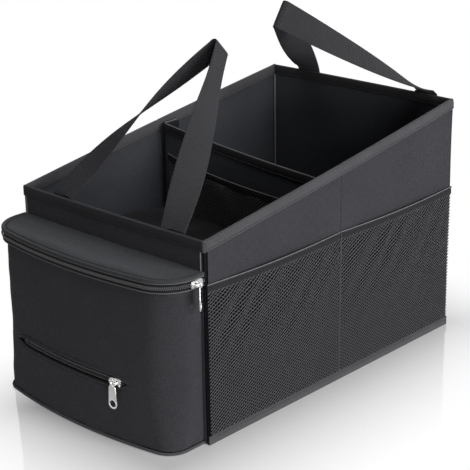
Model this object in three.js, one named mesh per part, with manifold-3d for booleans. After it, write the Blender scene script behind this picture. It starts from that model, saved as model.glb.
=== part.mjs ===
// Back seat organizer: an open cloth box with a sloping rim, a divider, net pockets on both
// sides, two webbing handles and a bow-fronted zipped pocket with a lid.
// Millimetres, +Z up. The origin is the centre of the box's underside; the zipped pocket faces -Y.
import * as THREE from 'three';
import { mergeVertices } from 'three/addons/utils/BufferGeometryUtils.js';
import Module from 'manifold-3d';

const wasm = await Module();
wasm.setup();

// The box
const bodyWidth = 254;
const bodyLength = 380;
const frontHeight = 203;
const rearHeight = 259;
const panel = 3; // board between two cloth skins
const gap = 0.3; // between pieces that touch
const cornerStrip = panel; // side of the sewn corner seam
const cornerRounding = 2.2;
const foldSeamWidth = 1.6;
const foldSeamDepth = 0.5;

// Binding tape
const tape = 1.2;
const rimDrop = 10;
const footBindingHeight = 9;
const netBindingHeight = 8.5;
const netBindingDepth = 2.4;
const liningSeam = 2.4; // welt that runs down each inside corner

// Base board
const baseBoard = 3;
const baseBoardMargin = 1.5;

// Net pockets
const netTop = 162;
const netSheet = 1;
const netMargin = 12;
const netColumns = 8;
const netRows = 5;
const netBar = 6;

// Divider
const dividerY = 1;
const dividerTopLeft = 229; // its top edge drops towards the right-hand wall
const dividerTopRight = 209;
const dividerFlange = 20;
const dividerBend = 4;
const dividerBindingHeight = 9.5;
const dividerNetDrop = 31; // from the divider's top edge to the net's
const dividerNetMargin = 9;
const dividerNetColumns = 8;
const dividerNetRows = 1;

// Raised floor of the front compartment
const shallowFloorTop = 130;

// Zipped front pocket
const pocketDepth = 57; // from the front panel to the middle of the zip band
const pocketBow = 568; // radius of the bowed front
const pocketCorner = 38;
const pocketWall = 2.2;
const pocketWallInset = 2.6; // the wall stands back from the zip band above it
const pocketFootTaper = 5; // how much narrower the foot is, each side
const pocketFloor = 2;
const pocketCornerSteps = 7;
const pocketBowSteps = 8;
const lidHeight = 175;
const lidSheet = 2.5;
const lidPiping = 1.6; // radius
const coilHeight = 1.7; // each half of a coil
const coilProud = 0.5;
const zipTape = 1;
const bandTape = 1.8; // the stouter tape sewn round the zip band
const upperTapeHeight = 3.6;
const lowerTapeHeight = 3.6;

// Small horizontal zip in the pocket's front
const slotLeft = -84;
const slotRight = 71;
const slotMiddle = 62.5;
const slotHeight = 9;
const slotTapeMargin = 5;
const pouchDrop = 46;

// Zip sliders and pulls
const sliderLength = 14;
const sliderWidth = 8.2;
const sliderNarrow = 6.2;
const sliderPlate = 2.2;
const bridgeBar = 1.2;
const bridgeSpan = 9;
const eyeInner = 1.5;
const eyeOuter = 2.7;
const eyeWidth = 1.8;
const pullLength = 26;
const pullTopWidth = 6.2;
const pullFootWidth = 9.6;
const pullSheet = 1.5;
const pullHole = 3.1; // radius
const pocketSliderX = 58;
const topPullTwist = 40; // degrees that the hanging tab is turned about the vertical

// Webbing handles
const webbing = 30;
const webbingSheet = 1.6;
const frontHandleSpread = 154; // between the middles of the two sewn ends
const rearHandleSpread = 166;
const handleMiddle = 6; // both loops are sewn a little right of the box's middle
const handleSewn = 42;
const handleStep = 3; // where the strap steps out over the rim binding
const handleRise = 2.6; // upright above the rim before the loop starts to lean
const frontHandleReach = 195; // from the rim to the fold, along the leaning loop
const frontHandleLean = 47.5; // degrees from upright, towards the middle of the box
const rearHandleReach = 172;
const rearHandleLean = 56;
const frontHandleBow = 5; // how far each leg bulges outwards
const rearHandleBow = -3;
const handleLegSteps = 9;
const handleFoldSteps = 4;
const handleFoldRadius = 5;

// Derived places
const halfWidth = bodyWidth / 2;
const halfLength = bodyLength / 2;
const slope = (rearHeight - frontHeight) / bodyLength;
const rimAt = (y) => frontHeight + slope * (y + halfLength);
const innerX = halfWidth - panel;
const innerY = halfLength - panel;
const stripX = halfWidth - cornerStrip;
const stripY = halfLength - cornerStrip;
const bowCentreY = -halfLength - pocketDepth + pocketBow;
const slotOuterInset = pocketWallInset; // the wall's outer face, from the zip band's face
const big = bodyLength; // longer than any piece a cutter goes through

const metals = { roughness: 0.25, metalness: 1 };
const material = {
  shell: new THREE.MeshStandardMaterial({ color: 0x3d3d41, roughness: 0.9, metalness: 0 }),
  pocket: new THREE.MeshStandardMaterial({ color: 0x29292d, roughness: 0.9, metalness: 0 }),
  binding: new THREE.MeshStandardMaterial({ color: 0x46474a, roughness: 0.8, metalness: 0 }),
  net: new THREE.MeshStandardMaterial({ color: 0x3a3a3e, roughness: 0.85, metalness: 0 }),
  webbing: new THREE.MeshStandardMaterial({ color: 0x3c3b40, roughness: 0.75, metalness: 0 }),
  zip: new THREE.MeshStandardMaterial({ color: 0x202022, roughness: 0.7, metalness: 0 }),
  coil: new THREE.MeshStandardMaterial({ color: 0x18181a, roughness: 0.4, metalness: 0 }),
  nickel: new THREE.MeshStandardMaterial({ color: 0xdcdcdc, ...metals }),
};

const part = new THREE.Group();
part.name = 'back_seat_organizer';

function add(name, geometry, finish, parent = part) {
  const mesh = new THREE.Mesh(geometry, finish);
  mesh.name = name;
  parent.add(mesh);
  return mesh;
}

// Solids for joining and cutting
function solid(geometry) {
  const bare = new THREE.BufferGeometry();
  bare.setAttribute('position', geometry.getAttribute('position').clone());
  if (geometry.index) bare.setIndex(geometry.index.clone());
  const merged = mergeVertices(bare, 1e-4);
  return new wasm.Manifold(new wasm.Mesh({
    numProp: 3,
    vertProperties: new Float32Array(merged.attributes.position.array),
    triVerts: new Uint32Array(merged.index.array),
  }));
}

function geometry(manifold) {
  const mesh = manifold.getMesh();
  const made = new THREE.BufferGeometry();
  made.setAttribute('position', new THREE.BufferAttribute(mesh.vertProperties, 3));
  made.setIndex(new THREE.BufferAttribute(mesh.triVerts, 1));
  made.computeVertexNormals();
  return made;
}

const meet = (a, b) => geometry(solid(a).intersect(solid(b)));
const cut = (from, ...tools) =>
  geometry(tools.reduce((left, tool) => left.subtract(solid(tool)), solid(from)));
const join = (...pieces) => geometry(pieces.map(solid).reduce((a, b) => a.add(b)));

function box(x0, x1, y0, y1, z0, z1) {
  const made = new THREE.BoxGeometry(x1 - x0, y1 - y0, z1 - z0);
  return made.translate((x0 + x1) / 2, (y0 + y1) / 2, (z0 + z1) / 2);
}

function polygon(points) {
  return new THREE.Shape(points.map(([a, b]) => new THREE.Vector2(a, b)));
}

const axisX = new THREE.Vector3(1, 0, 0);
const axisY = new THREE.Vector3(0, 1, 0);
const axisZ = new THREE.Vector3(0, 0, 1);

// A shape drawn in Y and Z, pushed out from x0 to x1
function alongX(shape, x0, x1) {
  const made = new THREE.ExtrudeGeometry(shape, { depth: x1 - x0, bevelEnabled: false });
  made.applyMatrix4(new THREE.Matrix4().makeBasis(axisY, axisZ, axisX));
  return made.translate(x0, 0, 0);
}

// A shape drawn in X and Z, pushed out from y1 back to y0
function alongY(shape, y0, y1) {
  const made = new THREE.ExtrudeGeometry(shape, { depth: y1 - y0, bevelEnabled: false });
  made.applyMatrix4(new THREE.Matrix4().makeBasis(axisX, axisZ, axisY.clone().negate()));
  return made.translate(0, y1, 0);
}

// A shape drawn in X and Y, pushed up from z0 to z1
function alongZ(shape, z0, z1, options = {}) {
  const made = new THREE.ExtrudeGeometry(shape, {
    depth: z1 - z0, bevelEnabled: false, ...options,
  });
  return made.translate(0, 0, z0);
}

// A bar whose top and foot run parallel to the sloping rim
function slopedBar(x0, x1, y0, y1, low, high) {
  const outline = [
    [y0, rimAt(y0) + low], [y1, rimAt(y1) + low],
    [y1, rimAt(y1) + high], [y0, rimAt(y0) + high],
  ];
  return alongX(polygon(outline), x0, x1);
}

// A closed skin through rings of equally many points, with flat ends
function loft(rings) {
  const count = rings[0].length;
  const positions = rings.flat().flatMap((p) => [p.x, p.y, p.z]);
  const faces = [];
  for (let i = 0; i + 1 < rings.length; i++) {
    for (let j = 0; j < count; j++) {
      const a = i * count + j;
      const b = i * count + ((j + 1) % count);
      faces.push(a, b, b + count, a, b + count, a + count);
    }
  }
  const last = (rings.length - 1) * count;
  for (let j = 1; j + 1 < count; j++) {
    faces.push(0, j + 1, j, last, last + j, last + j + 1);
  }
  const made = new THREE.BufferGeometry();
  made.setAttribute('position', new THREE.Float32BufferAttribute(positions, 3));
  made.setIndex(signedVolume(rings.flat(), faces) < 0 ? flipped(faces) : faces);
  made.computeVertexNormals();
  return made;
}

function signedVolume(points, faces) {
  let sum = 0;
  for (let i = 0; i < faces.length; i += 3) {
    const [a, b, c] = [points[faces[i]], points[faces[i + 1]], points[faces[i + 2]]];
    sum += a.dot(b.clone().cross(c));
  }
  return sum / 6;
}

function flipped(faces) {
  const turned = [];
  for (let i = 0; i < faces.length; i += 3) turned.push(faces[i], faces[i + 2], faces[i + 1]);
  return turned;
}

// Plan of the front pocket from its right end to its left, at a distance inside the zip band's face
function pocketPlan(inset, taper = 0) {
  const cornerX = halfWidth - taper - pocketCorner;
  const reach = Math.sqrt((pocketBow - pocketCorner) ** 2 - cornerX ** 2);
  const cornerY = bowCentreY - reach;
  const turn = Math.atan2(reach, cornerX); // where the corner meets the bow
  const points = [new THREE.Vector2(cornerX + pocketCorner - inset, -halfLength - gap)];
  for (let i = 0; i <= pocketCornerSteps; i++) {
    const a = (-turn * i) / pocketCornerSteps;
    const r = pocketCorner - inset;
    points.push(new THREE.Vector2(cornerX + r * Math.cos(a), cornerY + r * Math.sin(a)));
  }
  const swing = Math.PI / 2 - turn;
  for (let i = 1; i < pocketBowSteps; i++) {
    const a = swing * (1 - (2 * i) / pocketBowSteps);
    const r = pocketBow - inset;
    points.push(new THREE.Vector2(r * Math.sin(a), bowCentreY - r * Math.cos(a)));
  }
  const mirrored = points.slice(0, pocketCornerSteps + 2).reverse();
  for (const p of mirrored) points.push(new THREE.Vector2(-p.x, p.y));
  return points;
}

// A band that follows the pocket's plan, between two insets and two heights
function pocketBand(outer, inner, z0, z1, footTaper = 0) {
  const plans = {
    outFoot: pocketPlan(outer, footTaper), outTop: pocketPlan(outer),
    inTop: pocketPlan(inner), inFoot: pocketPlan(inner, footTaper),
  };
  const at = (p, z) => new THREE.Vector3(p.x, p.y, z);
  return loft(plans.outTop.map((p, i) => [
    at(plans.outFoot[i], z0), at(p, z1), at(plans.inTop[i], z1), at(plans.inFoot[i], z0),
  ]));
}

// A flat sheet that fills the pocket's plan, as far back as backY
function pocketSheet(inset, z0, z1, backY = -halfLength - gap, taper = 0) {
  const plan = pocketPlan(inset, taper);
  plan[0].y = backY;
  plan[plan.length - 1].y = backY;
  return alongZ(new THREE.Shape(plan), z0, z1);
}

// A strip that follows the bow between two x positions
function bowStrip(x0, x1, outer, inner, z0, z1) {
  const rings = [];
  for (let i = 0; i <= pocketBowSteps; i++) {
    const x = x0 + ((x1 - x0) * i) / pocketBowSteps;
    const a = Math.asin(x / (pocketBow - outer));
    const at = (inset, z) => new THREE.Vector3(
      (pocketBow - inset) * Math.sin(a), bowCentreY - (pocketBow - inset) * Math.cos(a), z);
    rings.push([at(outer, z0), at(outer, z1), at(inner, z1), at(inner, z0)]);
  }
  return loft(rings);
}

// Panels
function sidePanel(side) {
  const low = -stripY + gap;
  const high = stripY - gap;
  const underBinding = -tape - gap;
  const outline = polygon([
    [low, 0], [high, 0], [high, rimAt(high) + underBinding], [low, rimAt(low) + underBinding],
  ]);
  const [x0, x1] = [side * innerX, side * halfWidth].sort((a, b) => a - b);
  const foldSeam = (face) => box(
    face - foldSeamDepth, face + foldSeamDepth,
    -foldSeamWidth / 2, foldSeamWidth / 2, footBindingHeight, rimAt(0) - rimDrop);
  return cut(alongX(outline, x0, x1), foldSeam(x0), foldSeam(x1));
}

function endPanel(end) {
  const y = [end * innerY, end * halfLength].sort((a, b) => a - b);
  const top = -tape - gap;
  const outline = [[y[0], 0], [y[1], 0], [y[1], rimAt(y[1]) + top], [y[0], rimAt(y[0]) + top]];
  return alongX(polygon(outline), -stripX + gap, stripX - gap);
}

// The corner seam: a square strip with its outer edge rounded
function cornerSeam(side, end) {
  const outline = new THREE.Shape();
  outline.moveTo(0, 0);
  outline.lineTo(cornerStrip, 0);
  outline.lineTo(cornerStrip, cornerStrip - cornerRounding);
  outline.absarc(
    cornerStrip - cornerRounding, cornerStrip - cornerRounding, cornerRounding, 0, Math.PI / 2);
  outline.lineTo(0, cornerStrip);
  const height = rimAt(end > 0 ? stripY : -halfLength) - rimDrop - gap;
  const strip = new THREE.ExtrudeGeometry(outline, {
    depth: height, bevelEnabled: false, curveSegments: 4,
  });
  const turn = side > 0 ? (end > 0 ? 0 : -1) : (end > 0 ? 1 : 2);
  strip.rotateZ((turn * Math.PI) / 2);
  return strip.translate(side * stripX, end * stripY, 0);
}

// The welt down an inside corner: a three-cornered strip against both panels
function liningWelt(side, end) {
  const foot = (end > 0 ? panel + baseBoard + gap : shallowFloorTop) + gap;
  const top = rimAt(end > 0 ? innerY - liningSeam : -innerY) - rimDrop - 2 * gap;
  const corners = [[0, 0], [-side * liningSeam, 0], [0, -end * liningSeam]];
  const outline = polygon(side * end > 0 ? corners : corners.reverse());
  return alongZ(outline, foot, top).translate(side * (innerX - gap), end * (innerY - gap), 0);
}

// Bound over the side panel; the inner leg stops short of the end panels
function sideRimBinding(side) {
  const out = halfWidth + gap + tape;
  const inside = innerX - gap - tape;
  const end = halfLength + gap + tape;
  const legEnd = innerY - gap - tape - gap;
  const [x0, x1] = [side * inside, side * out].sort((a, b) => a - b);
  const [leg0, leg1] = [side * (inside - 1), side * (inside + tape + 1)].sort((a, b) => a - b);
  const under = -rimDrop - 1;
  return cut(
    slopedBar(x0, x1, -end, end, -rimDrop, 0),
    slopedBar(x0 + tape, x1 - tape, -end + tape, end - tape, under, -tape),
    slopedBar(leg0, leg1, -end + tape, -legEnd, under, -tape),
    slopedBar(leg0, leg1, legEnd, end - tape, under, -tape));
}

function endRimBinding(end) {
  const half = innerX - gap - tape - gap;
  const [y0, y1] = [end * (innerY - gap - tape), end * (halfLength + gap + tape)]
    .sort((a, b) => a - b);
  return cut(
    slopedBar(-half, half, y0, y1, -rimDrop, 0),
    slopedBar(-big, big, y0 + tape, y1 - tape, -rimDrop - 1, -tape));
}

function buildBox() {
  add('floor_panel', box(-innerX + gap, innerX - gap, -innerY + gap, innerY - gap, 0, panel),
    material.pocket);
  const boardX = innerX - gap - baseBoardMargin;
  const boardY = innerY - gap - baseBoardMargin;
  const boardZ = panel + gap;
  add('base_board', cut(
    box(-boardX, boardX, -boardY, boardY, boardZ, boardZ + baseBoard),
    box(-big, big, -foldSeamWidth / 2, foldSeamWidth / 2,
      boardZ + baseBoard - foldSeamDepth, boardZ + baseBoard + 1)), material.shell);
  add('shallow_floor',
    box(-innerX + gap, innerX - gap, -innerY + gap, dividerY - panel / 2 - gap,
      shallowFloorTop - panel, shallowFloorTop), material.shell);
  add('front_panel', endPanel(-1), material.pocket);
  add('back_panel', endPanel(1), material.shell);
  for (const [word, side] of [['left', -1], ['right', 1]]) {
    add(`${word}_panel`, sidePanel(side), material.shell);
    add(`rim_binding_${word}`, sideRimBinding(side), material.binding);
    const [x0, x1] = [side * (halfWidth + gap), side * (halfWidth + gap + tape)]
      .sort((a, b) => a - b);
    add(`foot_binding_${word}`,
      box(x0, x1, -halfLength, halfLength, 0, footBindingHeight), material.binding);
    for (const [place, end] of [['front', -1], ['rear', 1]]) {
      add(`corner_seam_${place}_${word}`, cornerSeam(side, end), material.binding);
      add(`lining_welt_${place}_${word}`, liningWelt(side, end), material.binding);
    }
  }
  add('rim_binding_front', endRimBinding(-1), material.binding);
  add('rim_binding_rear', endRimBinding(1), material.binding);
  add('foot_binding_rear',
    box(-halfWidth, halfWidth, halfLength + gap, halfLength + gap + tape, 0, footBindingHeight),
    material.binding);
}

// A net drawn flat, with fields of diamond gaps side by side. Its top edge may slope.
function netShape(fields, z0, topLeft, topRight, columns, rows) {
  const left = fields[0][0];
  const right = fields[fields.length - 1][1];
  const shape = polygon([[left, z0], [right, z0], [right, topRight], [left, topLeft]]);
  for (const [from, to] of fields) {
    const pitch = (to - from - 2 * netMargin) / columns;
    const rise = (Math.min(topLeft, topRight) - z0 - netMargin) / rows;
    for (let i = 0; i < columns; i++) {
      for (let j = 0; j < rows; j++) {
        const a = from + netMargin + pitch * (i + 0.5);
        const b = z0 + netMargin / 2 + rise * (j + 0.5);
        const [da, db] = [(pitch - netBar) / 2, (rise - netBar) / 2];
        shape.holes.push(new THREE.Path([
          new THREE.Vector2(a - da, b), new THREE.Vector2(a, b + db),
          new THREE.Vector2(a + da, b), new THREE.Vector2(a, b - db),
        ]));
      }
    }
  }
  return shape;
}

function buildNetPockets() {
  const half = halfLength - gap;
  const foot = footBindingHeight + gap;
  const top = netTop - netBindingHeight - gap;
  for (const [word, side] of [['left', -1], ['right', 1]]) {
    const face = side * (halfWidth + gap);
    const sheet = [face, face + side * netSheet].sort((a, b) => a - b);
    const hem = [face, face + side * netBindingDepth].sort((a, b) => a - b);
    const net = netShape([[-half, 0], [0, half]], foot, top, top, netColumns, netRows);
    add(`net_pocket_${word}`, alongX(net, sheet[0], sheet[1]), material.net);
    add(`net_binding_${word}`,
      box(hem[0], hem[1], -half, half, top + gap, netTop), material.binding);
  }
}

// Plan of the divider: a wall across the box with both ends turned back along the side walls.
// grow is how far the outline lies outside the panel's own skin.
function dividerPlan(grow) {
  const half = panel / 2 + grow;
  // Middle of the turned ends, whose binding stays inside the rim binding
  const flangeX = innerX - 3 * gap - 2 * tape - panel / 2;
  const [front, back] = [dividerY - half, dividerY + half];
  const [outside, inside] = [flangeX + half, flangeX - half];
  const bend = dividerBend + grow;
  const tip = dividerY + dividerFlange + grow;
  const shape = new THREE.Shape();
  shape.moveTo(-outside + bend, front);
  shape.lineTo(outside - bend, front);
  shape.absarc(outside - bend, front + bend, bend, -Math.PI / 2, 0);
  shape.lineTo(outside, tip);
  shape.lineTo(inside, tip);
  shape.lineTo(inside, back);
  shape.lineTo(-inside, back);
  shape.lineTo(-inside, tip);
  shape.lineTo(-outside, tip);
  shape.lineTo(-outside, front + bend);
  shape.absarc(-outside + bend, front + bend, bend, Math.PI, 1.5 * Math.PI);
  return shape;
}

// Height of the divider's sloping top edge
function dividerTopAt(x) {
  const share = (x + innerX) / (2 * innerX);
  return dividerTopLeft + (dividerTopRight - dividerTopLeft) * share;
}

// A slab between two slopes that run parallel to the divider's top edge
function dividerSlab(x0, x1, y0, y1, low, high) {
  return alongY(polygon([
    [x0, dividerTopAt(x0) + low], [x1, dividerTopAt(x1) + low],
    [x1, dividerTopAt(x1) + high], [x0, dividerTopAt(x0) + high],
  ]), y0, y1);
}

function buildDivider() {
  const foot = panel + baseBoard + 2 * gap;
  const curve = { curveSegments: 4 };
  const stock = (grow) => alongZ(dividerPlan(grow), foot, rearHeight, curve);
  const slab = (low, high) => dividerSlab(-big, big, -halfLength, halfLength, low, high);
  const height = dividerBindingHeight;
  add('divider_panel', meet(stock(0), slab(-big, -tape - gap)), material.shell);
  add('divider_binding', cut(
    meet(stock(gap + tape), slab(-height, 0)),
    meet(stock(gap), slab(-height - 1, -tape))), material.binding);

  const face = dividerY - panel / 2 - gap;
  const half = innerX - dividerNetMargin - dividerBend;
  const hemTop = (x) => dividerTopAt(x) - dividerNetDrop;
  const netTopAt = (x) => hemTop(x) - netBindingHeight - gap;
  const net = netShape([[-half, half]], shallowFloorTop + gap, netTopAt(-half),
    netTopAt(half), dividerNetColumns, dividerNetRows);
  add('divider_net', alongY(net, face - netSheet, face), material.net);
  add('divider_net_binding',
    dividerSlab(-half, half, face - netBindingDepth, face,
      -dividerNetDrop - netBindingHeight, -dividerNetDrop), material.binding);
}

// Where the sliders run
const coilMiddle = lidHeight - lidSheet - upperTapeHeight - coilHeight - gap / 2;
const lidCoilFoot = coilMiddle + gap / 2;
const wallCoilTop = coilMiddle - gap / 2;
const wallTop = wallCoilTop - coilHeight;

function buildPocket() {
  const wallFace = pocketWallInset;
  const wallInner = wallFace + pocketWall;
  const wall = pocketBand(wallFace, wallInner, 0, wallTop, pocketFootTaper);
  const slot = new THREE.Shape();
  const r = slotHeight / 2;
  slot.moveTo(slotLeft + r, slotMiddle - r);
  slot.lineTo(slotRight - r, slotMiddle - r);
  slot.absarc(slotRight - r, slotMiddle, r, -Math.PI / 2, Math.PI / 2);
  slot.lineTo(slotLeft + r, slotMiddle + r);
  slot.absarc(slotLeft + r, slotMiddle, r, Math.PI / 2, 1.5 * Math.PI);
  const through = alongY(slot, -halfLength - pocketDepth - 5, -halfLength - pocketDepth / 2);
  add('pocket_wall', cut(wall, through), material.pocket);
  add('pocket_floor', pocketSheet(wallInner + gap, 0, pocketFloor, undefined, pocketFootTaper),
    material.pocket);

  // Small zip: a tape behind the slot, its two coil halves and a pouch
  const tapeFace = wallInner + gap;
  const pouchFace = tapeFace + zipTape + gap;
  const [x0, x1] = [slotLeft - slotTapeMargin, slotRight + slotTapeMargin];
  const half = slotHeight / 2 + slotTapeMargin;
  add('slot_zip_tape',
    bowStrip(x0, x1, tapeFace, tapeFace + zipTape, slotMiddle - half, slotMiddle + half),
    material.zip);
  const coilFace = wallFace + coilProud;
  for (const [word, up] of [['upper', 1], ['lower', -1]]) {
    const z = [slotMiddle + (up * gap) / 2, slotMiddle + up * (gap / 2 + coilHeight)]
      .sort((a, b) => a - b);
    add(`slot_zip_coil_${word}`,
      bowStrip(slotLeft + r, slotRight - r, coilFace, tapeFace - gap, z[0], z[1]),
      material.coil);
  }
  add('slot_zip_pouch',
    bowStrip(x0, x1, pouchFace, pouchFace + zipTape, slotMiddle - pouchDrop, slotMiddle + half),
    material.zip);

  // Zip band round the lid
  const bandFace = coilProud;
  const bandInner = bandFace + bandTape;
  const coilFoot = wallCoilTop - coilHeight;
  add('wall_zip_tape',
    pocketBand(bandFace, bandInner, coilFoot - lowerTapeHeight, coilFoot), material.zip);
  add('wall_zip_coil', pocketBand(0, bandInner, coilFoot + gap, wallCoilTop), material.coil);
  add('lid_zip_coil',
    pocketBand(0, bandInner, lidCoilFoot, lidCoilFoot + coilHeight - gap), material.coil);
  add('lid_zip_tape',
    pocketBand(bandFace, bandInner, lidCoilFoot + coilHeight, lidHeight - lidSheet - gap),
    material.zip);
  add('pocket_lid',
    pocketSheet(bandFace + gap, lidHeight - lidSheet, lidHeight, -halfLength - gap),
    material.pocket);
  add('lid_piping', lidPipingRound(bandFace), material.binding);
}

// A round cord of piping sewn round the lid's edge
function lidPipingRound(inset) {
  const plan = pocketPlan(inset - lidPiping);
  const sides = 6;
  const middle = lidHeight - lidPiping;
  return loft(plan.map((p, i) => {
    const before = plan[Math.max(i - 1, 0)];
    const after = plan[Math.min(i + 1, plan.length - 1)];
    const along = after.clone().sub(before).normalize();
    return Array.from({ length: sides }, (_, k) => {
      const a = (2 * Math.PI * (k + 0.5)) / sides;
      const out = lidPiping * Math.cos(a);
      return new THREE.Vector3(
        p.x + along.y * out, p.y - along.x * out, middle + lidPiping * Math.sin(a));
    });
  }));
}

// A slider lying in X and Z with its face towards -Y: body plate, and the bridge that holds the pull
function sliderBody() {
  const half = sliderLength / 2;
  const shoulder = half * 0.25;
  const outline = new THREE.Shape();
  outline.moveTo(-half, -sliderNarrow / 2);
  outline.lineTo(shoulder, -sliderWidth / 2);
  outline.lineTo(half - 2, -sliderWidth / 2);
  outline.quadraticCurveTo(half, -sliderWidth / 2, half, -sliderWidth / 2 + 2);
  outline.lineTo(half, sliderWidth / 2 - 2);
  outline.quadraticCurveTo(half, sliderWidth / 2, half - 2, sliderWidth / 2);
  outline.lineTo(shoulder, sliderWidth / 2);
  outline.lineTo(-half, sliderNarrow / 2);
  const plate = new THREE.ExtrudeGeometry(outline, {
    depth: sliderPlate, bevelEnabled: false, curveSegments: 3,
  });
  plate.applyMatrix4(
    new THREE.Matrix4().makeBasis(axisX, axisZ, axisY.clone().negate()));
  const rise = bridgeRise();
  const reach = bridgeSpan / 2;
  const bar = bridgeBar / 2;
  const top = -sliderPlate - rise;
  return join(
    plate,
    box(-reach, reach, top - bar, top + bar, -bar, bar),
    box(-reach, -reach + bridgeBar, top + bar - 0.1, -sliderPlate + 0.1, -bar, bar),
    box(reach - bridgeBar, reach, top + bar - 0.1, -sliderPlate + 0.1, -bar, bar));
}

// Height of the bridge's middle above the plate, so that the pull's eye turns under it
function bridgeRise() {
  return eyeOuter + gap;
}

// A pull hanging from the bridge: an eye round the bar and a tab with a round hole near its foot
function sliderPull(twist) {
  const eye = new THREE.Shape();
  eye.absarc(0, 0, eyeOuter, 0, 2 * Math.PI);
  const hole = new THREE.Path();
  hole.absarc(0, 0, eyeInner, 0, 2 * Math.PI, true);
  eye.holes.push(hole);
  const ring = new THREE.ExtrudeGeometry(eye, {
    depth: eyeWidth, bevelEnabled: false, curveSegments: 12,
  });
  ring.applyMatrix4(new THREE.Matrix4().makeBasis(axisY, axisZ, axisX));
  ring.translate(-eyeWidth / 2, 0, 0);
  const top = -eyeOuter + 0.6;
  const foot = -pullLength;
  const r = pullFootWidth / 2;
  const tab = new THREE.Shape();
  tab.moveTo(-pullTopWidth / 2 + 1.5, top);
  tab.quadraticCurveTo(-pullTopWidth / 2, top, -pullTopWidth / 2, top - 1.5);
  tab.lineTo(-r, foot + r);
  tab.absarc(0, foot + r, r, Math.PI, 2 * Math.PI);
  tab.lineTo(pullTopWidth / 2, top - 1.5);
  tab.quadraticCurveTo(pullTopWidth / 2, top, pullTopWidth / 2 - 1.5, top);
  const eyelet = new THREE.Path();
  eyelet.absarc(0, foot + r, pullHole, 0, 2 * Math.PI, true);
  tab.holes.push(eyelet);
  const sheet = new THREE.ExtrudeGeometry(tab, {
    depth: pullSheet, bevelEnabled: false, curveSegments: 8,
  });
  sheet.applyMatrix4(
    new THREE.Matrix4().makeBasis(axisX, axisZ, axisY.clone().negate()));
  sheet.translate(0, pullSheet / 2, 0);
  sheet.rotateZ(THREE.MathUtils.degToRad(twist));
  return join(ring, sheet);
}

// A slider and its pull, placed on a plan point with the plate's back against the coil
function addSlider(name, x, y, z, turn, finish, twist) {
  const holder = new THREE.Group();
  holder.position.set(x, y, z);
  holder.rotation.z = turn;
  part.add(holder);
  add(`${name}_slider`, sliderBody(), finish, holder);
  const pull = add(`${name}_pull`, sliderPull(twist), finish, holder);
  pull.position.y = -sliderPlate - bridgeRise();
}

function buildSliders() {
  const clear = gap;
  const track = pocketBow - slotOuterInset - coilProud + clear;
  const a = Math.asin(pocketSliderX / track);
  addSlider('slot_zip', track * Math.sin(a), bowCentreY - track * Math.cos(a),
    slotMiddle, a, material.nickel, 0);
  const cornerX = halfWidth - pocketCorner;
  const cornerY = bowCentreY - Math.sqrt((pocketBow - pocketCorner) ** 2 - cornerX ** 2);
  addSlider('lid_zip', halfWidth + clear, cornerY, coilMiddle,
    Math.PI / 2, material.nickel, topPullTwist);
}

// One webbing handle: sewn flat to a wall at both ends, with a quarter turn in each leg up to a
// sharp fold. wallY is the wall's face; lean is which way the loop tips, as a direction in Y.
function handle({ wallY, lean, leanAngle, reach, spread, rim, bow }) {
  const half = spread / 2;
  const sheet = gap + webbingSheet / 2;
  const overRim = gap + tape + gap + webbingSheet / 2;
  const tilt = THREE.MathUtils.degToRad(leanAngle);
  const up = new THREE.Vector3(0, lean * Math.sin(tilt), Math.cos(tilt));
  const across = new THREE.Vector3().crossVectors(axisX, up); // width direction at the fold
  const root = new THREE.Vector3(0, wallY + overRim, rim + handleRise);
  const leg = [];
  const station = (p, width) => leg.push({ p, width: width.normalize() });
  const belowBinding = rim - rimDrop - handleStep;
  station(new THREE.Vector3(-half, wallY + sheet, belowBinding - handleSewn), axisX.clone());
  station(new THREE.Vector3(-half, wallY + sheet, belowBinding - handleStep), axisX.clone());
  station(new THREE.Vector3(-half, wallY + overRim, belowBinding), axisX.clone());
  station(new THREE.Vector3(-half, wallY + overRim, rim + handleRise / 3), axisX.clone());
  for (let i = 0; i <= handleLegSteps; i++) {
    const s = i / handleLegSteps;
    const turn = (s * s * (3 - 2 * s) * Math.PI) / 2;
    const bowed = bow * Math.sin(Math.PI * s);
    const p = root.clone()
      .addScaledVector(axisX, -(half - handleFoldRadius) * (1 - s) - handleFoldRadius - bowed)
      .addScaledVector(up, (reach - handleFoldRadius) * s);
    station(p, axisX.clone().multiplyScalar(Math.cos(turn))
      .addScaledVector(across, Math.sin(turn)));
  }
  for (let i = 1; i <= handleFoldSteps; i++) {
    const a = (Math.PI / 2) * (i / handleFoldSteps);
    const p = root.clone()
      .addScaledVector(axisX, -handleFoldRadius * Math.cos(a))
      .addScaledVector(up, reach - handleFoldRadius + handleFoldRadius * Math.sin(a));
    station(p, across.clone());
  }
  const mirrored = leg.slice(0, -1).reverse().map(({ p, width }) => ({
    p: new THREE.Vector3(-p.x, p.y, p.z),
    width: new THREE.Vector3(-width.x, width.y, width.z),
  }));
  const strap = ribbon([...leg, ...mirrored], webbing, webbingSheet);
  return strap.translate(handleMiddle, 0, 0);
}

// A flat strap through stations, each with its middle and the direction of its width
function ribbon(stations, width, sheet) {
  return loft(stations.map(({ p, width: across }, i) => {
    const before = stations[Math.max(i - 1, 0)].p;
    const after = stations[Math.min(i + 1, stations.length - 1)].p;
    const along = after.clone().sub(before).normalize();
    const face = new THREE.Vector3().crossVectors(along, across).normalize();
    const flat = new THREE.Vector3().crossVectors(face, along).normalize();
    const corner = (a, b) => p.clone()
      .addScaledVector(flat, (a * width) / 2).addScaledVector(face, (b * sheet) / 2);
    return [corner(-1, -1), corner(1, -1), corner(1, 1), corner(-1, 1)];
  }));
}

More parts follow.
